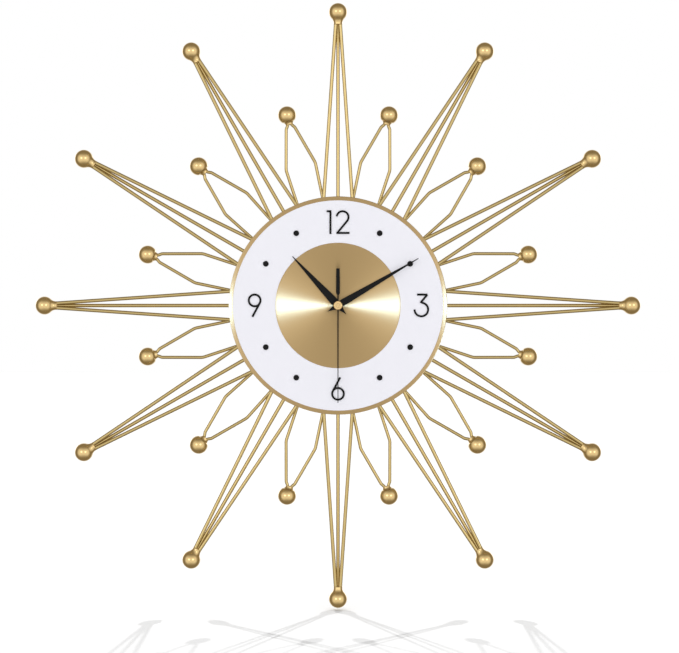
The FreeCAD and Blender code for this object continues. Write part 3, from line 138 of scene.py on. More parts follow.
FINISHES = (
    Finish("ray_gold", (0.60, 0.46, 0.21), (0.55, 0.41, 0.17), 1.0, 0.11,
           grain_size=0.006, bump=0.0),
    Finish("ball_gold", (0.83, 0.61, 0.29), (0.79, 0.57, 0.26), 1.0, 0.12,
           grain_size=0.006, bump=0.0),
    Finish("dial_gold", (0.575, 0.40, 0.19), (0.555, 0.385, 0.18), 1.0, 0.37, anisotropy=1.0,
           grain=Grain.TURNED, grain_size=0.0005, bump=0.000002),
    Finish("dial_white", (0.86, 0.855, 0.91), (0.85, 0.845, 0.905), 0.0, 0.34, 0.4, coat=0.2,
           grain_size=0.004, bump=0.000002),
    Finish("figure_black", (0.003, 0.003, 0.003), (0.005, 0.005, 0.005), 0.0, 0.40, 0.15),
    Finish("hand_black", (0.003, 0.003, 0.003), (0.005, 0.005, 0.005), 0.0, 0.42, 0.15,
           grain_size=0.0007),
    Finish("cap_gold", (0.83, 0.60, 0.30), (0.76, 0.52, 0.24), 1.0, 0.24,
           grain=Grain.TURNED, grain_size=0.0003),
    Finish("case_black", (0.016, 0.016, 0.018), (0.024, 0.024, 0.026), 0.0, 0.5, 0.4,
           grain_size=0.0005, bump=0.00003),
    Finish("bushing_brass", (0.75, 0.55, 0.24), (0.66, 0.46, 0.18), 1.0, 0.30),
    Finish("washer_rubber", (0.015, 0.015, 0.015), (0.022, 0.022, 0.022), 0.0, 0.75,
           bump=0.00002),
    Finish("plate_steel", (0.56, 0.56, 0.57), (0.48, 0.48, 0.50), 1.0, 0.32,
           grain=Grain.STRIPED, grain_size=0.0004),
    Finish("sheet_steel", (0.42, 0.42, 0.44), (0.36, 0.36, 0.38), 1.0, 0.42,
           grain=Grain.STRIPED, grain_size=0.0004),
    Finish("battery_label", (0.015, 0.05, 0.16), (0.02, 0.06, 0.18), 0.0, 0.28, coat=0.5,
           grain=Grain.BANDED),
    Finish("board_green", (0.01, 0.09, 0.03), (0.014, 0.11, 0.04), 0.0, 0.35, coat=0.3),
    Finish("can_chrome", (0.62, 0.62, 0.63), (0.58, 0.58, 0.60), 1.0, 0.15),
    Finish("bobbin_plastic", (0.62, 0.60, 0.52), (0.58, 0.56, 0.48), 0.0, 0.5),
    Finish("winding_copper", (0.55, 0.16, 0.05), (0.42, 0.11, 0.03), 0.6, 0.28,
           grain=Grain.WOUND, grain_size=0.00012),
    Finish("gear_white", (0.58, 0.57, 0.53), (0.54, 0.53, 0.49), 0.0, 0.5),
    Finish("arbor_brass", (0.75, 0.55, 0.24), (0.66, 0.46, 0.18), 1.0, 0.28),
)


@dataclass(frozen=True)
class CellBands:
    """Bare steel ends and coloured band of the battery, in metres from its middle along X.

    Attributes:
        cap_start: Where the bare steel at the button begins.
        band_start: Where the coloured band begins.
        base_end: Where the bare steel at the flat end stops.
        steel: Linear colour of the bare steel.
        band: Linear colour of the band.
    """

    cap_start: float = 0.0236
    band_start: float = 0.0150
    base_end: float = -0.0244
    steel: tuple[float, float, float] = (0.60, 0.60, 0.61)
    band: tuple[float, float, float] = (0.40, 0.18, 0.06)


class MaterialLibrary:
    """Builds each finish once and hands it out by slot."""

    def __init__(self, finishes: tuple[Finish, ...]) -> None:
        """Build a material for every finish.

        Args:
            finishes: The finishes of the clock.
        """
        self._materials = {finish.slot: self._build(finish) for finish in finishes}

    def get(self, slot: str) -> bpy.types.Material:
        """Return the material of a slot.

        Args:
            slot: Name of the record's material slot.

        Returns:
            The material.
        """
        return self._materials[slot]

    def dress(self, nodes: dict[str, bpy.types.Object], subparts: list[dict]) -> None:
        """Give every CAD node the finish of its slot.

        Args:
            nodes: CAD objects by node name.
            subparts: The record's list of nodes and slots.
        """
        for part in subparts:
            mesh = nodes[part["node"]]
            for slot in mesh.material_slots:
                slot.material = self._materials[part["material_slot"]]

    def _build(self, finish: Finish) -> bpy.types.Material:
        """Build the node tree of one finish.

        Args:
            finish: The finish.

        Returns:
            The new material.
        """
        material = bpy.data.materials.new(finish.slot)
        material.use_nodes = True
        tree = material.node_tree
        shader = tree.nodes["Principled BSDF"]
        shader.inputs["Metallic"].default_value = finish.metallic
        shader.inputs["Roughness"].default_value = finish.roughness
        shader.inputs["Specular IOR Level"].default_value = finish.reflectance
        shader.inputs["Anisotropic"].default_value = finish.anisotropy
        groove_turn = GROOVE_TURN if finish.anisotropy else 0.0
        shader.inputs["Anisotropic Rotation"].default_value = groove_turn
        shader.inputs["Coat Weight"].default_value = finish.coat
        shader.inputs["Coat Roughness"].default_value = COAT_ROUGHNESS
        pattern = self._pattern(tree, finish)
        blend = tree.nodes.new("ShaderNodeMix")
        blend.data_type = "RGBA"
        blend.inputs["A"].default_value = (*finish.colour, 1)
        blend.inputs["B"].default_value = (*finish.second, 1)
        tree.links.new(pattern, blend.inputs["Factor"])
        tree.links.new(blend.outputs["Result"], shader.inputs["Base Color"])
        if finish.grain is Grain.BANDED:
            self._paint_cell(tree, shader, blend.outputs["Result"], CellBands())
        bump = tree.nodes.new("ShaderNodeBump")
        bump.inputs["Distance"].default_value = finish.bump
        bump.inputs["Strength"].default_value = 1.0
        tree.links.new(pattern, bump.inputs["Height"])
        tree.links.new(bump.outputs["Normal"], shader.inputs["Normal"])
        if finish.anisotropy:
            tangent = tree.nodes.new("ShaderNodeTangent")
            tangent.direction_type = "RADIAL"
            tangent.axis = "Y"
            tree.links.new(tangent.outputs["Tangent"], shader.inputs["Tangent"])
        return material

    def _pattern(self, tree: bpy.types.NodeTree, finish: Finish) -> bpy.types.NodeSocket:
        """Make the value between 0 and 1 that carries a finish's grain.

        Args:
            tree: The material's node tree.
            finish: The finish.

        Returns:
            The socket with the pattern's value.
        """
        place = tree.nodes.new("ShaderNodeTexCoord").outputs["Object"]
        noise = tree.nodes.new("ShaderNodeTexNoise")
        noise.inputs["Scale"].default_value = 1 / finish.grain_size
        noise.inputs["Detail"].default_value = GRAIN_DETAIL
        if finish.grain is Grain.TURNED:
            noise.noise_dimensions = "1D"
            tree.links.new(self._radius(tree, place), noise.inputs["W"])
        else:
            mapping = tree.nodes.new("ShaderNodeMapping")
            mapping.inputs["Scale"].default_value = GRAIN_STRETCH[finish.grain]
            tree.links.new(place, mapping.inputs["Vector"])
            tree.links.new(mapping.outputs["Vector"], noise.inputs["Vector"])
        return noise.outputs["Fac"]

    @staticmethod
    def _paint_cell(tree: bpy.types.NodeTree, shader: bpy.types.Node,
                    label: bpy.types.NodeSocket, bands: CellBands) -> None:
        """Lay the battery's coloured band and its bare steel ends over the label.

        Args:
            tree: The material's node tree.
            shader: The surface shader.
            label: Socket with the label's colour.
            bands: Places and colours of the bands.
        """
        place = tree.nodes.new("ShaderNodeTexCoord").outputs["Object"]
        parts = tree.nodes.new("ShaderNodeSeparateXYZ")
        tree.links.new(place, parts.inputs[0])
        masks = []
        for operation, edge in (("GREATER_THAN", bands.band_start),
                                ("GREATER_THAN", bands.cap_start), ("LESS_THAN", bands.base_end)):
            mask = tree.nodes.new("ShaderNodeMath")
            mask.operation = operation
            mask.inputs[1].default_value = edge
            tree.links.new(parts.outputs["X"], mask.inputs[0])
            masks.append(mask.outputs[0])
        colour = label
        for mask, tint in zip(masks, (bands.band, bands.steel, bands.steel)):
            mix = tree.nodes.new("ShaderNodeMix")
            mix.data_type = "RGBA"
            mix.inputs["B"].default_value = (*tint, 1)
            tree.links.new(mask, mix.inputs["Factor"])
            tree.links.new(colour, mix.inputs["A"])
            colour = mix.outputs["Result"]
        tree.links.new(colour, shader.inputs["Base Color"])
        bare = tree.nodes.new("ShaderNodeMath")
        bare.operation = "MAXIMUM"
        tree.links.new(masks[1], bare.inputs[0])
        tree.links.new(masks[2], bare.inputs[1])
        tree.links.new(bare.outputs[0], shader.inputs["Metallic"])

    @staticmethod
    def _radius(tree: bpy.types.NodeTree, place: bpy.types.NodeSocket) -> bpy.types.NodeSocket:
        """Distance from the hands' axis.

        Args:
            tree: The material's node tree.
            place: Socket with the object's coordinates.

        Returns:
            The socket with the distance.
        """
        flat = tree.nodes.new("ShaderNodeVectorMath")
        flat.operation = "MULTIPLY"
        flat.inputs[1].default_value = (1, 0, 1)
        length = tree.nodes.new("ShaderNodeVectorMath")
        length.operation = "LENGTH"
        tree.links.new(place, flat.inputs[0])
        tree.links.new(flat.outputs["Vector"], length.inputs[0])
        return length.outputs["Value"]


class Workpiece:
    """A new closed mesh, built with operators and handed over as a riding piece."""

    def __init__(self, name: str) -> None:
        """Start an empty mesh.

        Args:
            name: Name of the finished piece.
        """
        self.name = name
        self.shape = bmesh.new()

    def spin_profile(self, points: list[tuple[float, float]], steps: int,
                     place: Matrix) -> None:
        """Turn a profile that starts and ends on the axis, and set the solid in its place.

        Args:
            points: (radius, height) points of the profile, in order.
            steps: Number of steps round the axis.
            place: Matrix that carries the turned solid, its axis along Z, to its place.
        """
        verts = [bmesh.ops.create_vert(self.shape, co=(r, 0, h))["vert"][0] for r, h in points]
        edges = [self.shape.edges.new(pair) for pair in zip(verts, verts[1:])]
        turned = bmesh.ops.spin(self.shape, geom=verts + edges, cent=(0, 0, 0), axis=(0, 0, 1),
                                dvec=(0, 0, 0), angle=math.tau, steps=steps, use_merge=True,
                                use_normal_flip=False, use_duplicate=False)
        last = [item for item in turned["geom_last"] if isinstance(item, bmesh.types.BMVert)]
        island = self._island(last + verts)
        bmesh.ops.remove_doubles(self.shape, verts=island, dist=MERGE_DISTANCE)
        island = [v for v in island if v.is_valid]
        bmesh.ops.transform(self.shape, matrix=place, verts=island)

    def bead(self, place: Matrix, reach: tuple[float, float, float], segments: int) -> None:
        """Add a rounded bead.

        Args:
            place: Matrix that carries the bead to its place.
            reach: Half sizes of the bead along its own axes.
            segments: Segments round the bead.
        """
        matrix = place @ Matrix.Diagonal((*reach, 1))
        bmesh.ops.create_uvsphere(self.shape, u_segments=segments, v_segments=segments // 2,
                                  radius=1.0, matrix=matrix)

    def block(self, middle: Vector, size: tuple[float, float, float], edge: float) -> None:
        """Add a block with rounded edges.

        Args:
            middle: Middle of the block.
            size: Sizes along X, Y and Z.
            edge: Radius of its edges.
        """
        matrix = Matrix.Translation(middle) @ Matrix.Diagonal((*size, 1))
        made = bmesh.ops.create_cube(self.shape, size=1.0, matrix=matrix)
        edges = list({e for vert in made["verts"] for e in vert.link_edges})
        bmesh.ops.bevel(self.shape, geom=edges, offset=edge, segments=EDGE_STEPS,
                        affect="EDGES", profile=0.5, material=-1)

    def ride(self, body: Body, slot: str, library: MaterialLibrary) -> bpy.types.Object:
        """Turn the mesh into an object that rides on a CAD body.

        Args:
            body: The body it moves with.
            slot: The record's material slot.
            library: Materials by slot.

        Returns:
            The new object.
        """
        bmesh.ops.recalc_face_normals(self.shape, faces=self.shape.faces)
        for face in self.shape.faces:
            face.smooth = True
        mesh = bpy.data.meshes.new(self.name)
        self.shape.to_mesh(mesh)
        self.shape.free()
        mesh.materials.append(library.get(slot))
        piece = bpy.data.objects.new(self.name, mesh)
        bpy.context.scene.collection.objects.link(piece)
        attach(piece, body.value)
        return piece

    @staticmethod
    def _island(seeds: list[bmesh.types.BMVert]) -> list[bmesh.types.BMVert]:
        """Every vertex joined to the given ones by edges.

        Args:
            seeds: Vertices to start from.

        Returns:
            The joined vertices.
        """
        found, queue = set(seeds), list(seeds)
        while queue:
            for edge in queue.pop().link_edges:
                for vert in edge.verts:
                    if vert not in found:
                        found.add(vert)
                        queue.append(vert)
        return list(found)


def arc_points(centre: tuple[float, float], radius: float, first: float, last: float,
               steps: int) -> list[tuple[float, float]]:
    """Points of an arc in a profile.

    Args:
        centre: Middle of the arc.
        radius: Radius of the arc.
        first: Angle of the first point, in radians.
        last: Angle of the last point, in radians.
        steps: Number of pieces the arc is cut into.

    Returns:
        The points, ends included.
    """
    angles = [first + (last - first) * step / steps for step in range(steps + 1)]
    return [(centre[0] + radius * math.cos(t), centre[1] + radius * math.sin(t)) for t in angles]


def about_hands(clock_angle: float) -> Matrix:
    """Turn about the hands' axis.

    Args:
        clock_angle: Angle in degrees, clockwise from 12 as seen from the front.

    Returns:
        The rotation matrix.
    """
    return Matrix.Rotation(math.radians(clock_angle), 4, "Y")


@dataclass(frozen=True)
class BallSizes:
    """A ball with its collar, in metres; the same sizes as the CAD piece it stands for.

    Attributes:
        node: CAD node that the smooth balls stand for.
        first_angle: Clock angle of the first ball, in degrees.
        mouth_radius: Radius of the collar at its mouth.
        collar_length: Mouth of the collar to its seam with the ball.
        rod_radius: Radius of the wires.
        rod_places: Wires in the collar's mouth, as (side, back) from its middle.
        radius: Radius of the ball.
        seam_radius: Radius of the collar where it meets the ball.
        bow: How far the collar's side bows in.
        count: Number of balls.
        steps: Steps round a ball.
        horn_steps: Pieces of the collar's curve.
        round_steps: Pieces of the ball's curve.
        bead_height: Half the height of a solder bead.
        bead_wall: Solder round a wire.
        bead_segments: Segments round a solder bead.
    """

    node: str
    first_angle: float
    mouth_radius: float
    collar_length: float
    rod_radius: float
    rod_places: tuple[tuple[float, float], ...]
    radius: float = 0.009
    seam_radius: float = 0.0064
    bow: float = 0.0008
    count: int = 12
    steps: int = 64
    horn_steps: int = 10
    round_steps: int = 40
    bead_height: float = 0.00055
    bead_wall: float = 0.00028
    bead_segments: int = 20


RAY_BALLS = BallSizes("long_ray_balls", 0.0, 0.0044009, 0.006, 0.0018,
                      ((0.0, 0.0023009), (-0.0022, -0.000674), (0.0022, -0.000674)))
PETAL_BALLS = BallSizes("petal_balls", 15.0, 0.00375, 0.0035, 0.0016,
                        ((-0.00185, 0.0), (0.00185, 0.0)))


class CollaredBalls:
    """Smooth balls with horn-shaped collars and the solder beads round their rods."""

    def __init__(self, sizes: BallSizes) -> None:
        """Find where the balls sit.

        Args:
            sizes: Sizes of one kind of ball.
        """
        self.sizes = sizes
        low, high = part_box(sizes.node)
        self.depth = (low.y + high.y) / 2
        outside = max(math.hypot(v.co.x, v.co.z) for v in frame["nodes"][sizes.node].data.vertices)
        self.centre = outside - sizes.radius

    def build(self, library: MaterialLibrary) -> None:
        """Build the balls of one kind and their beads, and hide the CAD node they stand for.

        Args:
            library: Materials by slot.
        """
        balls = Workpiece(f"{self.sizes.node}_smooth")
        beads = Workpiece(f"{self.sizes.node}_solder")
        profile = self._profile()
        for index in range(self.sizes.count):
            turn = about_hands(self.sizes.first_angle + 360 / self.sizes.count * index)
            seat = turn @ Matrix.Translation((0, self.depth, self.centre))
            balls.spin_profile(profile, self.sizes.steps, seat)
            for side, back in self.sizes.rod_places:
                place = seat @ Matrix.Translation((side, back, self._mouth()))
                reach = self.sizes.rod_radius + self.sizes.bead_wall
                beads.bead(place, (reach, reach, self.sizes.bead_height),
                           self.sizes.bead_segments)
        piece = balls.ride(Body.CLOCK, "ball_gold", library)
        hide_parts(self.sizes.node)
        beads.ride(Body.CLOCK, "ball_gold", library)

    def _mouth(self) -> float:
        """Height of the collar's mouth, from the ball's middle."""
        seam_drop = math.sqrt(self.sizes.radius ** 2 - self.sizes.seam_radius ** 2)
        return -seam_drop - self.sizes.collar_length

    def _profile(self) -> list[tuple[float, float]]:
        """Profile of a ball with its collar, about the ball's middle.

        Returns:
            (radius, height) points from the middle of the mouth to the far pole.
        """
        sizes = self.sizes
        seam = Vector((sizes.seam_radius, self._mouth() + sizes.collar_length))
        lip = Vector((sizes.mouth_radius, self._mouth()))
        chord = seam - lip
        inward = Vector((-chord.y, chord.x)).normalized()
        half = chord.length / 2
        bend = (half ** 2 + sizes.bow ** 2) / (2 * sizes.bow)
        middle = (lip + seam) / 2 - inward * (bend - sizes.bow)
        opening = math.asin(half / bend)
        facing = math.atan2(inward.y, inward.x)
        horn = arc_points(tuple(middle), bend, facing + opening, facing - opening,
                          sizes.horn_steps)
        if (Vector(horn[0]) - lip).length > (Vector(horn[-1]) - lip).length:
            horn.reverse()
        first = math.atan2(seam.y, seam.x)
        ball = arc_points((0, 0), sizes.radius, first, math.pi / 2, sizes.round_steps)
        return [(0.0, self._mouth())] + horn + ball[1:-1] + [(0.0, sizes.radius)]


@dataclass(frozen=True)
class WeldSizes:
    """Places of the weld beads between the wires and the steel disc, in metres.

    Attributes:
        front: Weld places on the disc's front, as (side, radius).
        rear: Weld places on the disc's rear, as (side, radius).
        rear_between: Weld places on the rear, half a ray's step on.
        front_depth: Middle of the front beads, in front of the wall.
        rear_depth: Middle of the rear beads, in front of the wall.
        reach: Half sizes of a bead: across the wire, in depth and along the wire.
        count: Number of rays.
        segments: Segments round a bead.
    """

    front: tuple[tuple[float, float], ...] = (
        (0.01623, 0.075), (-0.01623, 0.075), (0.01473, 0.097), (-0.01473, 0.097),
    )
    rear: tuple[tuple[float, float], ...] = ((0.0, 0.056), (0.0, 0.096))
    rear_between: tuple[tuple[float, float], ...] = (
        (0.0112, 0.075), (-0.0112, 0.075), (0.0124, 0.096), (-0.0124, 0.096),
    )
    front_depth: float = 0.0199
    rear_depth: float = 0.0173
    reach: tuple[float, float, float] = (0.0027, 0.0010, 0.0034)
    count: int = 12
    segments: int = 12


class Welds:
    """Weld beads that hold every wire to the steel disc."""

    def __init__(self, sizes: WeldSizes) -> None:
        """Take the sizes.

        Args:
            sizes: Places and sizes of the beads.
        """
        self.sizes = sizes

    def build(self, library: MaterialLibrary) -> None:
        """Build the beads.

        Args:
            library: Materials by slot.
        """
        sizes = self.sizes
        welds = Workpiece("wire_welds")
        step = 360 / sizes.count
        for index in range(sizes.count):
            for spots, depth, offset in ((sizes.front, sizes.front_depth, 0.0),
                                         (sizes.rear, sizes.rear_depth, 0.0),
                                         (sizes.rear_between, sizes.rear_depth, step / 2)):
                for side, radius in spots:
                    place = about_hands(step * index + offset) @ Matrix.Translation(
                        (side, -depth, radius)
                    )
                    welds.bead(place, sizes.reach, sizes.segments)
        welds.ride(Body.CLOCK, "ray_gold", library)


@dataclass(frozen=True)
class MovementSizes:
    """Small moulded details on the movement, in metres.

    Attributes:
        rib_size: Grip rib of the case.
        rib_heights: Heights of the ribs above the hands' axis.
        mark_long: Length of a bar of the polarity marks.
        mark_wide: Width of a bar of the polarity marks.
        mark_rise: Depth of a bar, half of it standing out of the case.
        edge: Rounding of the ribs, the marks and the knob's grip.
        knob_radius: Radius of the knob, where its knurl sits.
        knob_teeth: Number of the knurl's teeth.
        knob_middle: Wall to the middle of the knurl.
        tooth_reach: Half sizes of a tooth of the knurl.
        tooth_segments: Segments round a tooth of the knurl.
        grip_size: Bar across the knob.
        grip_depth: Wall to the middle of the bar.
        case_bevel: Softening of the case's edges.
        bevel_angle: Corners of the case sharper than this, in degrees, are softened.
    """

    rib_size: tuple[float, float, float] = (0.0006, 0.0100, 0.0012)
    rib_heights: tuple[float, ...] = (0.007, 0.010, 0.013, 0.016, 0.019)
    mark_long: float = 0.0050
    mark_wide: float = 0.0011
    mark_rise: float = 0.0005
    edge: float = 0.00012
    knob_radius: float = 0.0050
    knob_teeth: int = 28
    knob_middle: float = 0.00105
    tooth_reach: tuple[float, float, float] = (0.00026, 0.00055, 0.00026)
    tooth_segments: int = 8
    grip_size: tuple[float, float, float] = (0.0064, 0.00032, 0.0012)
    grip_depth: float = 0.00020
    case_bevel: float = 0.0005
    bevel_angle: float = 50.0


class MovementDetails:
    """Grip ribs and polarity marks on the case, and the knurl and grip of the setting knob."""

    def __init__(self, sizes: MovementSizes) -> None:
        """Take the sizes.

        Args:
            sizes: Sizes of the details.
        """
        self.sizes = sizes

    def build(self, library: MaterialLibrary) -> None:
        """Build the details and soften the case's edges.

        Args:
            library: Materials by slot.
        """
        self._case(library)
        self._knob(library)
        for node in ("front_case", "back_case"):
            softening = frame["nodes"][node].modifiers.new("soft_edges", "BEVEL")
            softening.width = self.sizes.case_bevel
            softening.segments = EDGE_STEPS
            softening.limit_method = "ANGLE"
            softening.angle_limit = math.radians(self.sizes.bevel_angle)

    def _case(self, library: MaterialLibrary) -> None:
        """Ribs on both sides of the case, a plus at one end of the battery, a minus at the other.

        Args:
            library: Materials by slot.
        """
        sizes = self.sizes
        low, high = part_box("front_case")
        cell_low, cell_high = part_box("battery")
        level = (cell_low.z + cell_high.z) / 2
        depth = (low.y + high.y) / 2
        marks = Workpiece("case_marks")
        flat = (sizes.mark_rise, sizes.mark_long, sizes.mark_wide)
        tall = (sizes.mark_rise, sizes.mark_wide, sizes.mark_long)
        for side in (low.x, high.x):
            for height in sizes.rib_heights:
                marks.block(Vector((side, depth, height)), sizes.rib_size, sizes.edge)
            marks.block(Vector((side, depth, level)), flat, sizes.edge)
        marks.block(Vector((high.x, depth, level)), tall, sizes.edge)
        marks.ride(Body.CLOCK, "case_black", library)

    def _knob(self, library: MaterialLibrary) -> None:
        """Knurl and grip bar of the setting knob.

        Args:
            library: Materials by slot.
        """
        sizes = self.sizes
        low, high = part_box("minute_wheel")
        axis = Vector(((low.x + high.x) / 2, 0, (low.z + high.z) / 2))
        grip = Workpiece("knob_grip")
        for index in range(sizes.knob_teeth):
            place = Matrix.Translation(axis) @ about_hands(360 / sizes.knob_teeth * index) @ (
                Matrix.Translation((0, -sizes.knob_middle, sizes.knob_radius))
            )
            grip.bead(place, sizes.tooth_reach, sizes.tooth_segments)
        grip.block(axis - Vector((0, sizes.grip_depth, 0)), sizes.grip_size, sizes.edge)
        grip.ride(Body.KNOB, "gear_white", library)


@dataclass(frozen=True)
class StudioSizes:
    """Camera, floor and lamps, in metres from the hands' axis, with angles in degrees.

    Attributes:
        distance: Camera to the wall's plane.
        view_width: Width that the camera sees in the wall's plane.
        film_width: Width of the camera's film, in millimetres.
        aim_right: Camera to the right of the axis.
        aim_down: Camera below the axis.
        floor_gap: Lowest ball to the floor.
        floor_reach: Half the floor's width.
        floor_white: Linear grey of the floor.
        backdrop: Brightness of the surroundings as the camera sees them.
        ambient: Brightness of the surroundings for matt surfaces.
        rear_light: Strength of each rear light.
        rear_height: Height of the rear lights above the horizon.
        rear_spread: Turn of each rear light away from straight behind.
        rear_softness: Width of each rear light as an angle.
        dial_light: Power of each dial lamp, in watts.
        dial_light_side: Dial lamps to the side of the axis.
        dial_light_front: Dial lamps in front of the wall.
        dial_light_width: Width of a dial lamp.
        dial_light_height: Height of a dial lamp.
        dial_light_colour: Linear colour of the dial lamps.
    """

    distance: float = 2.4
    view_width: float = 0.6787
    film_width: float = 36.0
    aim_right: float = 0.0015
    aim_down: float = 0.0208
    floor_gap: float = 0.0015
    floor_reach: float = 12.0
    floor_white: float = 0.66
    backdrop: float = 1.0
    ambient: float = 1.0
    rear_light: float = 2.4
    rear_height: float = 24.0
    rear_spread: float = 17.0
    rear_softness: float = 0.8
    dial_light: float = 33.0
    dial_light_side: float = 1.5
    dial_light_front: float = 1.25
    dial_light_width: float = 1.6
    dial_light_height: float = 0.36
    dial_light_colour: tuple[float, float, float] = (0.32, 0.58, 1.1)


@dataclass(frozen=True)
class Surround:
    """Brightness of what polished metal mirrors, by direction.

    Attributes:
        level: Brightness in front of the clock.
        shade: Colour of the darker parts of the room.
        edge_from: Where the room starts to darken, as the backward part of the direction.
        edge_to: Where it is dark beside the clock.
        behind_from: Where the brightness starts to rise again.
        behind_to: Where the rise ends.
        dim_from: Height, as the sine of the elevation, where the dimming starts.
        dim_to: Height where the dimming is full.
        window: Brightness added by a soft window at each side.
        window_place: Middle of the windows, as (side, height) of the direction.
        window_reach: Distance from the middle at which a window has faded out.
        tint: Colour of the windows.
    """

    level: float = 1.0
    shade: tuple[float, float, float] = (0.27, 0.24, 0.19)
    edge_from: float = -0.60
    edge_to: float = 0.15
    behind_from: float = 0.50
    behind_to: float = 0.95
    dim_from: float = 0.25
    dim_to: float = 1.10
    window: float = 1.6
    window_place: tuple[float, float] = (0.42, 0.11)
    window_reach: float = 0.28
    tint: tuple[float, float, float] = (0.97, 1.0, 1.08)


class Studio:
    """White floor, white surroundings, soft light and the camera."""

    def __init__(self, sizes: StudioSizes, surround: Surround, lowest: float) -> None:
        """Set the stage up.

        Args:
            sizes: Places of the camera, the floor and the lamps.
            surround: What polished metal mirrors.
            lowest: Height of the clock's lowest point.
        """
        self.sizes = sizes
        self.surround = surround
        self.lowest = lowest

    def build(self) -> None:
        """Build the floor, the lamps, the surroundings and the camera."""
        self._floor()
        self._surroundings()
        self._rear_lights()
        self._dial_lights()
        self._camera()
        bpy.context.scene.view_settings.view_transform = "Standard"

    def _floor(self) -> None:
        """A wide matt white floor that metal doesn't mirror."""
        mesh = bpy.data.meshes.new("studio_floor")
        shape = bmesh.new()
        bmesh.ops.create_grid(shape, x_segments=1, y_segments=1, size=self.sizes.floor_reach)
        shape.to_mesh(mesh)
        shape.free()
        floor = bpy.data.objects.new("studio_floor", mesh)
        floor.location.z = self.lowest - self.sizes.floor_gap
        floor.visible_glossy = False
        bpy.context.scene.collection.objects.link(floor)
        material = bpy.data.materials.new("studio_floor")
        material.use_nodes = True
        shader = material.node_tree.nodes["Principled BSDF"]
        shader.inputs["Base Color"].default_value = (*(self.sizes.floor_white,) * 3, 1)
        shader.inputs["Roughness"].default_value = 1.0
        shader.inputs["Specular IOR Level"].default_value = 0.0
        mesh.materials.append(material)
        floor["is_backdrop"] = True

    def _surroundings(self) -> None:
        """White to the camera, even for matt surfaces, with soft side windows for polished ones."""
        world = bpy.data.worlds.new("studio")
        bpy.context.scene.world = world
        world.use_nodes = True
        tree = world.node_tree
        tree.nodes.clear()
        output = tree.nodes.new("ShaderNodeOutputWorld")
        path = tree.nodes.new("ShaderNodeLightPath")
        even = self._background(tree, self.sizes.ambient)
        white = self._background(tree, self.sizes.backdrop)
        mirrored = tree.nodes.new("ShaderNodeBackground")
        tree.links.new(self._mirrored_light(tree), mirrored.inputs["Color"])
        shine = tree.nodes.new("ShaderNodeMixShader")
        tree.links.new(path.outputs["Is Glossy Ray"], shine.inputs["Fac"])
        tree.links.new(even.outputs[0], shine.inputs[1])
        tree.links.new(mirrored.outputs[0], shine.inputs[2])
        seen = tree.nodes.new("ShaderNodeMixShader")
        tree.links.new(path.outputs["Is Camera Ray"], seen.inputs["Fac"])
        tree.links.new(shine.outputs[0], seen.inputs[1])
        tree.links.new(white.outputs[0], seen.inputs[2])
        tree.links.new(seen.outputs[0], output.inputs["Surface"])

    @staticmethod
    def _background(tree: bpy.types.NodeTree, strength: float) -> bpy.types.Node:
        """Add an even white background.

        Args:
            tree: The world's node tree.
            strength: Its brightness.

        Returns:
            The background node.
        """
        background = tree.nodes.new("ShaderNodeBackground")
        background.inputs["Color"].default_value = (1, 1, 1, 1)
        background.inputs["Strength"].default_value = strength
        return background

    def _mirrored_light(self, tree: bpy.types.NodeTree) -> bpy.types.NodeSocket:
        """Colour of the surroundings by direction.

        Args:
            tree: The world's node tree.

        Returns:
            The socket with the colour.
        """
        around = self.surround
        direction = tree.nodes.new("ShaderNodeTexCoord").outputs["Generated"]
        parts = tree.nodes.new("ShaderNodeSeparateXYZ")
        tree.links.new(direction, parts.inputs[0])
        side = self._combine(tree, "ABSOLUTE", parts.outputs["X"])
        height = self._combine(tree, "ABSOLUTE", parts.outputs["Z"])
        open_room = self._combine(
            tree, "ADD",
            self._slope(tree, parts.outputs["Y"], (around.edge_from, around.edge_to), (1.0, 0.0)),
            self._slope(tree, parts.outputs["Y"], (around.behind_from, around.behind_to),
                        (0.0, 1.0)),
        )
        upright = self._slope(tree, height, (around.dim_from, around.dim_to), (1.0, 0.0))
        bright = self._combine(tree, "MULTIPLY", open_room, upright)
        offsets = []
        for value, middle in zip((side, parts.outputs["Z"]), around.window_place):
            offset = self._combine(tree, "SUBTRACT", value, middle)
            offsets.append(self._combine(tree, "MULTIPLY", offset, offset))
        apart = self._combine(tree, "SQRT", self._combine(tree, "ADD", *offsets))
        window = self._slope(tree, apart, (0.0, around.window_reach), (around.window, 0.0))
        window = self._combine(tree, "MULTIPLY", window, open_room)
        colour = tree.nodes.new("ShaderNodeCombineXYZ")
        for socket, dark, share in zip(colour.inputs, around.shade, around.tint):
            base = self._combine(tree, "MULTIPLY_ADD", bright, around.level - dark, dark)
            tree.links.new(self._combine(tree, "MULTIPLY_ADD", window, share, base), socket)
        return colour.outputs[0]

    @staticmethod
    def _slope(tree: bpy.types.NodeTree, value: bpy.types.NodeSocket,
               limits: tuple[float, float], results: tuple[float, float]) -> bpy.types.NodeSocket:
        """Smooth change from one result to another between two limits.

        Args:
            tree: The world's node tree.
            value: Socket with the value.
            limits: Where the change starts and ends.
            results: What it starts and ends at.

        Returns:
            The socket with the result.
        """
        node = tree.nodes.new("ShaderNodeMapRange")
        node.interpolation_type = "SMOOTHSTEP"
        tree.links.new(value, node.inputs["Value"])
        for name, number in zip(("From Min", "From Max", "To Min", "To Max"), limits + results):
            node.inputs[name].default_value = number
        return node.outputs["Result"]

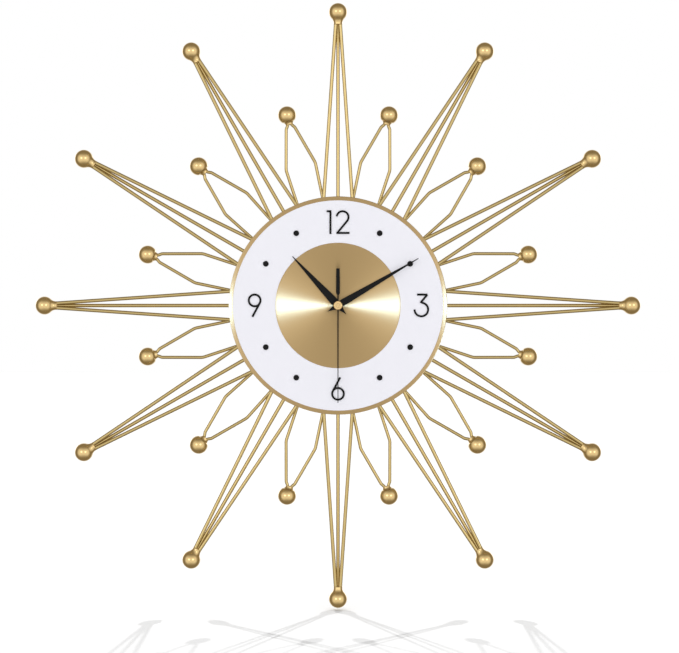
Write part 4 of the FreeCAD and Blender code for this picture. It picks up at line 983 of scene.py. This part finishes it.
    @staticmethod
    def _combine(tree: bpy.types.NodeTree, operation: str,
                 *values: bpy.types.NodeSocket | float) -> bpy.types.NodeSocket:
        """Work a value out from others.

        Args:
            tree: The world's node tree.
            operation: Name of the operation.
            values: Sockets or plain numbers that it works on.

        Returns:
            The socket with the result.
        """
        node = tree.nodes.new("ShaderNodeMath")
        node.operation = operation
        for socket, value in zip(node.inputs, values):
            if isinstance(value, bpy.types.NodeSocket):
                tree.links.new(value, socket)
            else:
                socket.default_value = value
        return node.outputs[0]

    def _rear_lights(self) -> None:
        """Two soft lights from behind and above, which throw crossing shadows forwards."""
        for name, side in (("rear_light_left", -1), ("rear_light_right", 1)):
            lamp = bpy.data.lights.new(name, "SUN")
            lamp.energy = self.sizes.rear_light
            lamp.angle = math.radians(self.sizes.rear_softness)
            tilt = Matrix.Rotation(math.radians(self.sizes.rear_height - 90), 4, "X")
            turn = Matrix.Rotation(math.radians(side * self.sizes.rear_spread), 4, "Z")
            holder = bpy.data.objects.new(name, lamp)
            holder.matrix_world = turn @ tilt
            holder.visible_glossy = False
            bpy.context.scene.collection.objects.link(holder)

    def _dial_lights(self) -> None:
        """Two long flat lamps at the sides, whose light reaches the turned dial plate only."""
        sizes = self.sizes
        reach = bpy.data.collections.new("dial_light_reach")
        reach.objects.link(frame["nodes"]["dial_plate"])
        for name, side in (("dial_light_left", -1), ("dial_light_right", 1)):
            lamp = bpy.data.lights.new(name, "AREA")
            lamp.shape = "RECTANGLE"
            lamp.size = sizes.dial_light_width
            lamp.size_y = sizes.dial_light_height
            lamp.energy = sizes.dial_light
            lamp.color = sizes.dial_light_colour
            place = Vector((side * sizes.dial_light_side, -sizes.dial_light_front, 0))
            holder = bpy.data.objects.new(name, lamp)
            holder.location = place
            holder.rotation_euler = place.to_track_quat("Z", "Y").to_euler()
            holder.light_linking.receiver_collection = reach
            bpy.context.scene.collection.objects.link(holder)

    def _camera(self) -> None:
        """A long lens, level, square on to the dial."""
        data = bpy.data.cameras.new("camera")
        data.sensor_width = self.sizes.film_width
        data.lens = data.sensor_width * self.sizes.distance / self.sizes.view_width
        camera = bpy.data.objects.new("camera", data)
        camera.location = (self.sizes.aim_right, -self.sizes.distance, -self.sizes.aim_down)
        camera.rotation_euler = (math.radians(90), 0, 0)
        bpy.context.scene.collection.objects.link(camera)
        bpy.context.scene.camera = camera


def main() -> None:
    """Dress the CAD pieces, build the new ones and set the stage."""
    logging.basicConfig(level=logging.INFO, format="%(name)s: %(message)s")
    low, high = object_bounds()
    library = MaterialLibrary(FINISHES)
    library.dress(frame["nodes"], frame["record"]["subparts"])
    log.info("finishes on %d CAD pieces", len(frame["nodes"]))
    for balls in (RAY_BALLS, PETAL_BALLS):
        CollaredBalls(balls).build(library)
        log.info("%s: %d smooth balls and their solder beads", balls.node, balls.count)
    Welds(WeldSizes()).build(library)
    log.info("weld beads between the wires and the steel disc")
    MovementDetails(MovementSizes()).build(library)
    log.info("ribs and marks on the case, knurl and grip on the setting knob")
    Studio(StudioSizes(), Surround(), low[2]).build()
    log.info("floor, surroundings, lamps and camera")


if __name__ == "__main__":
    main()
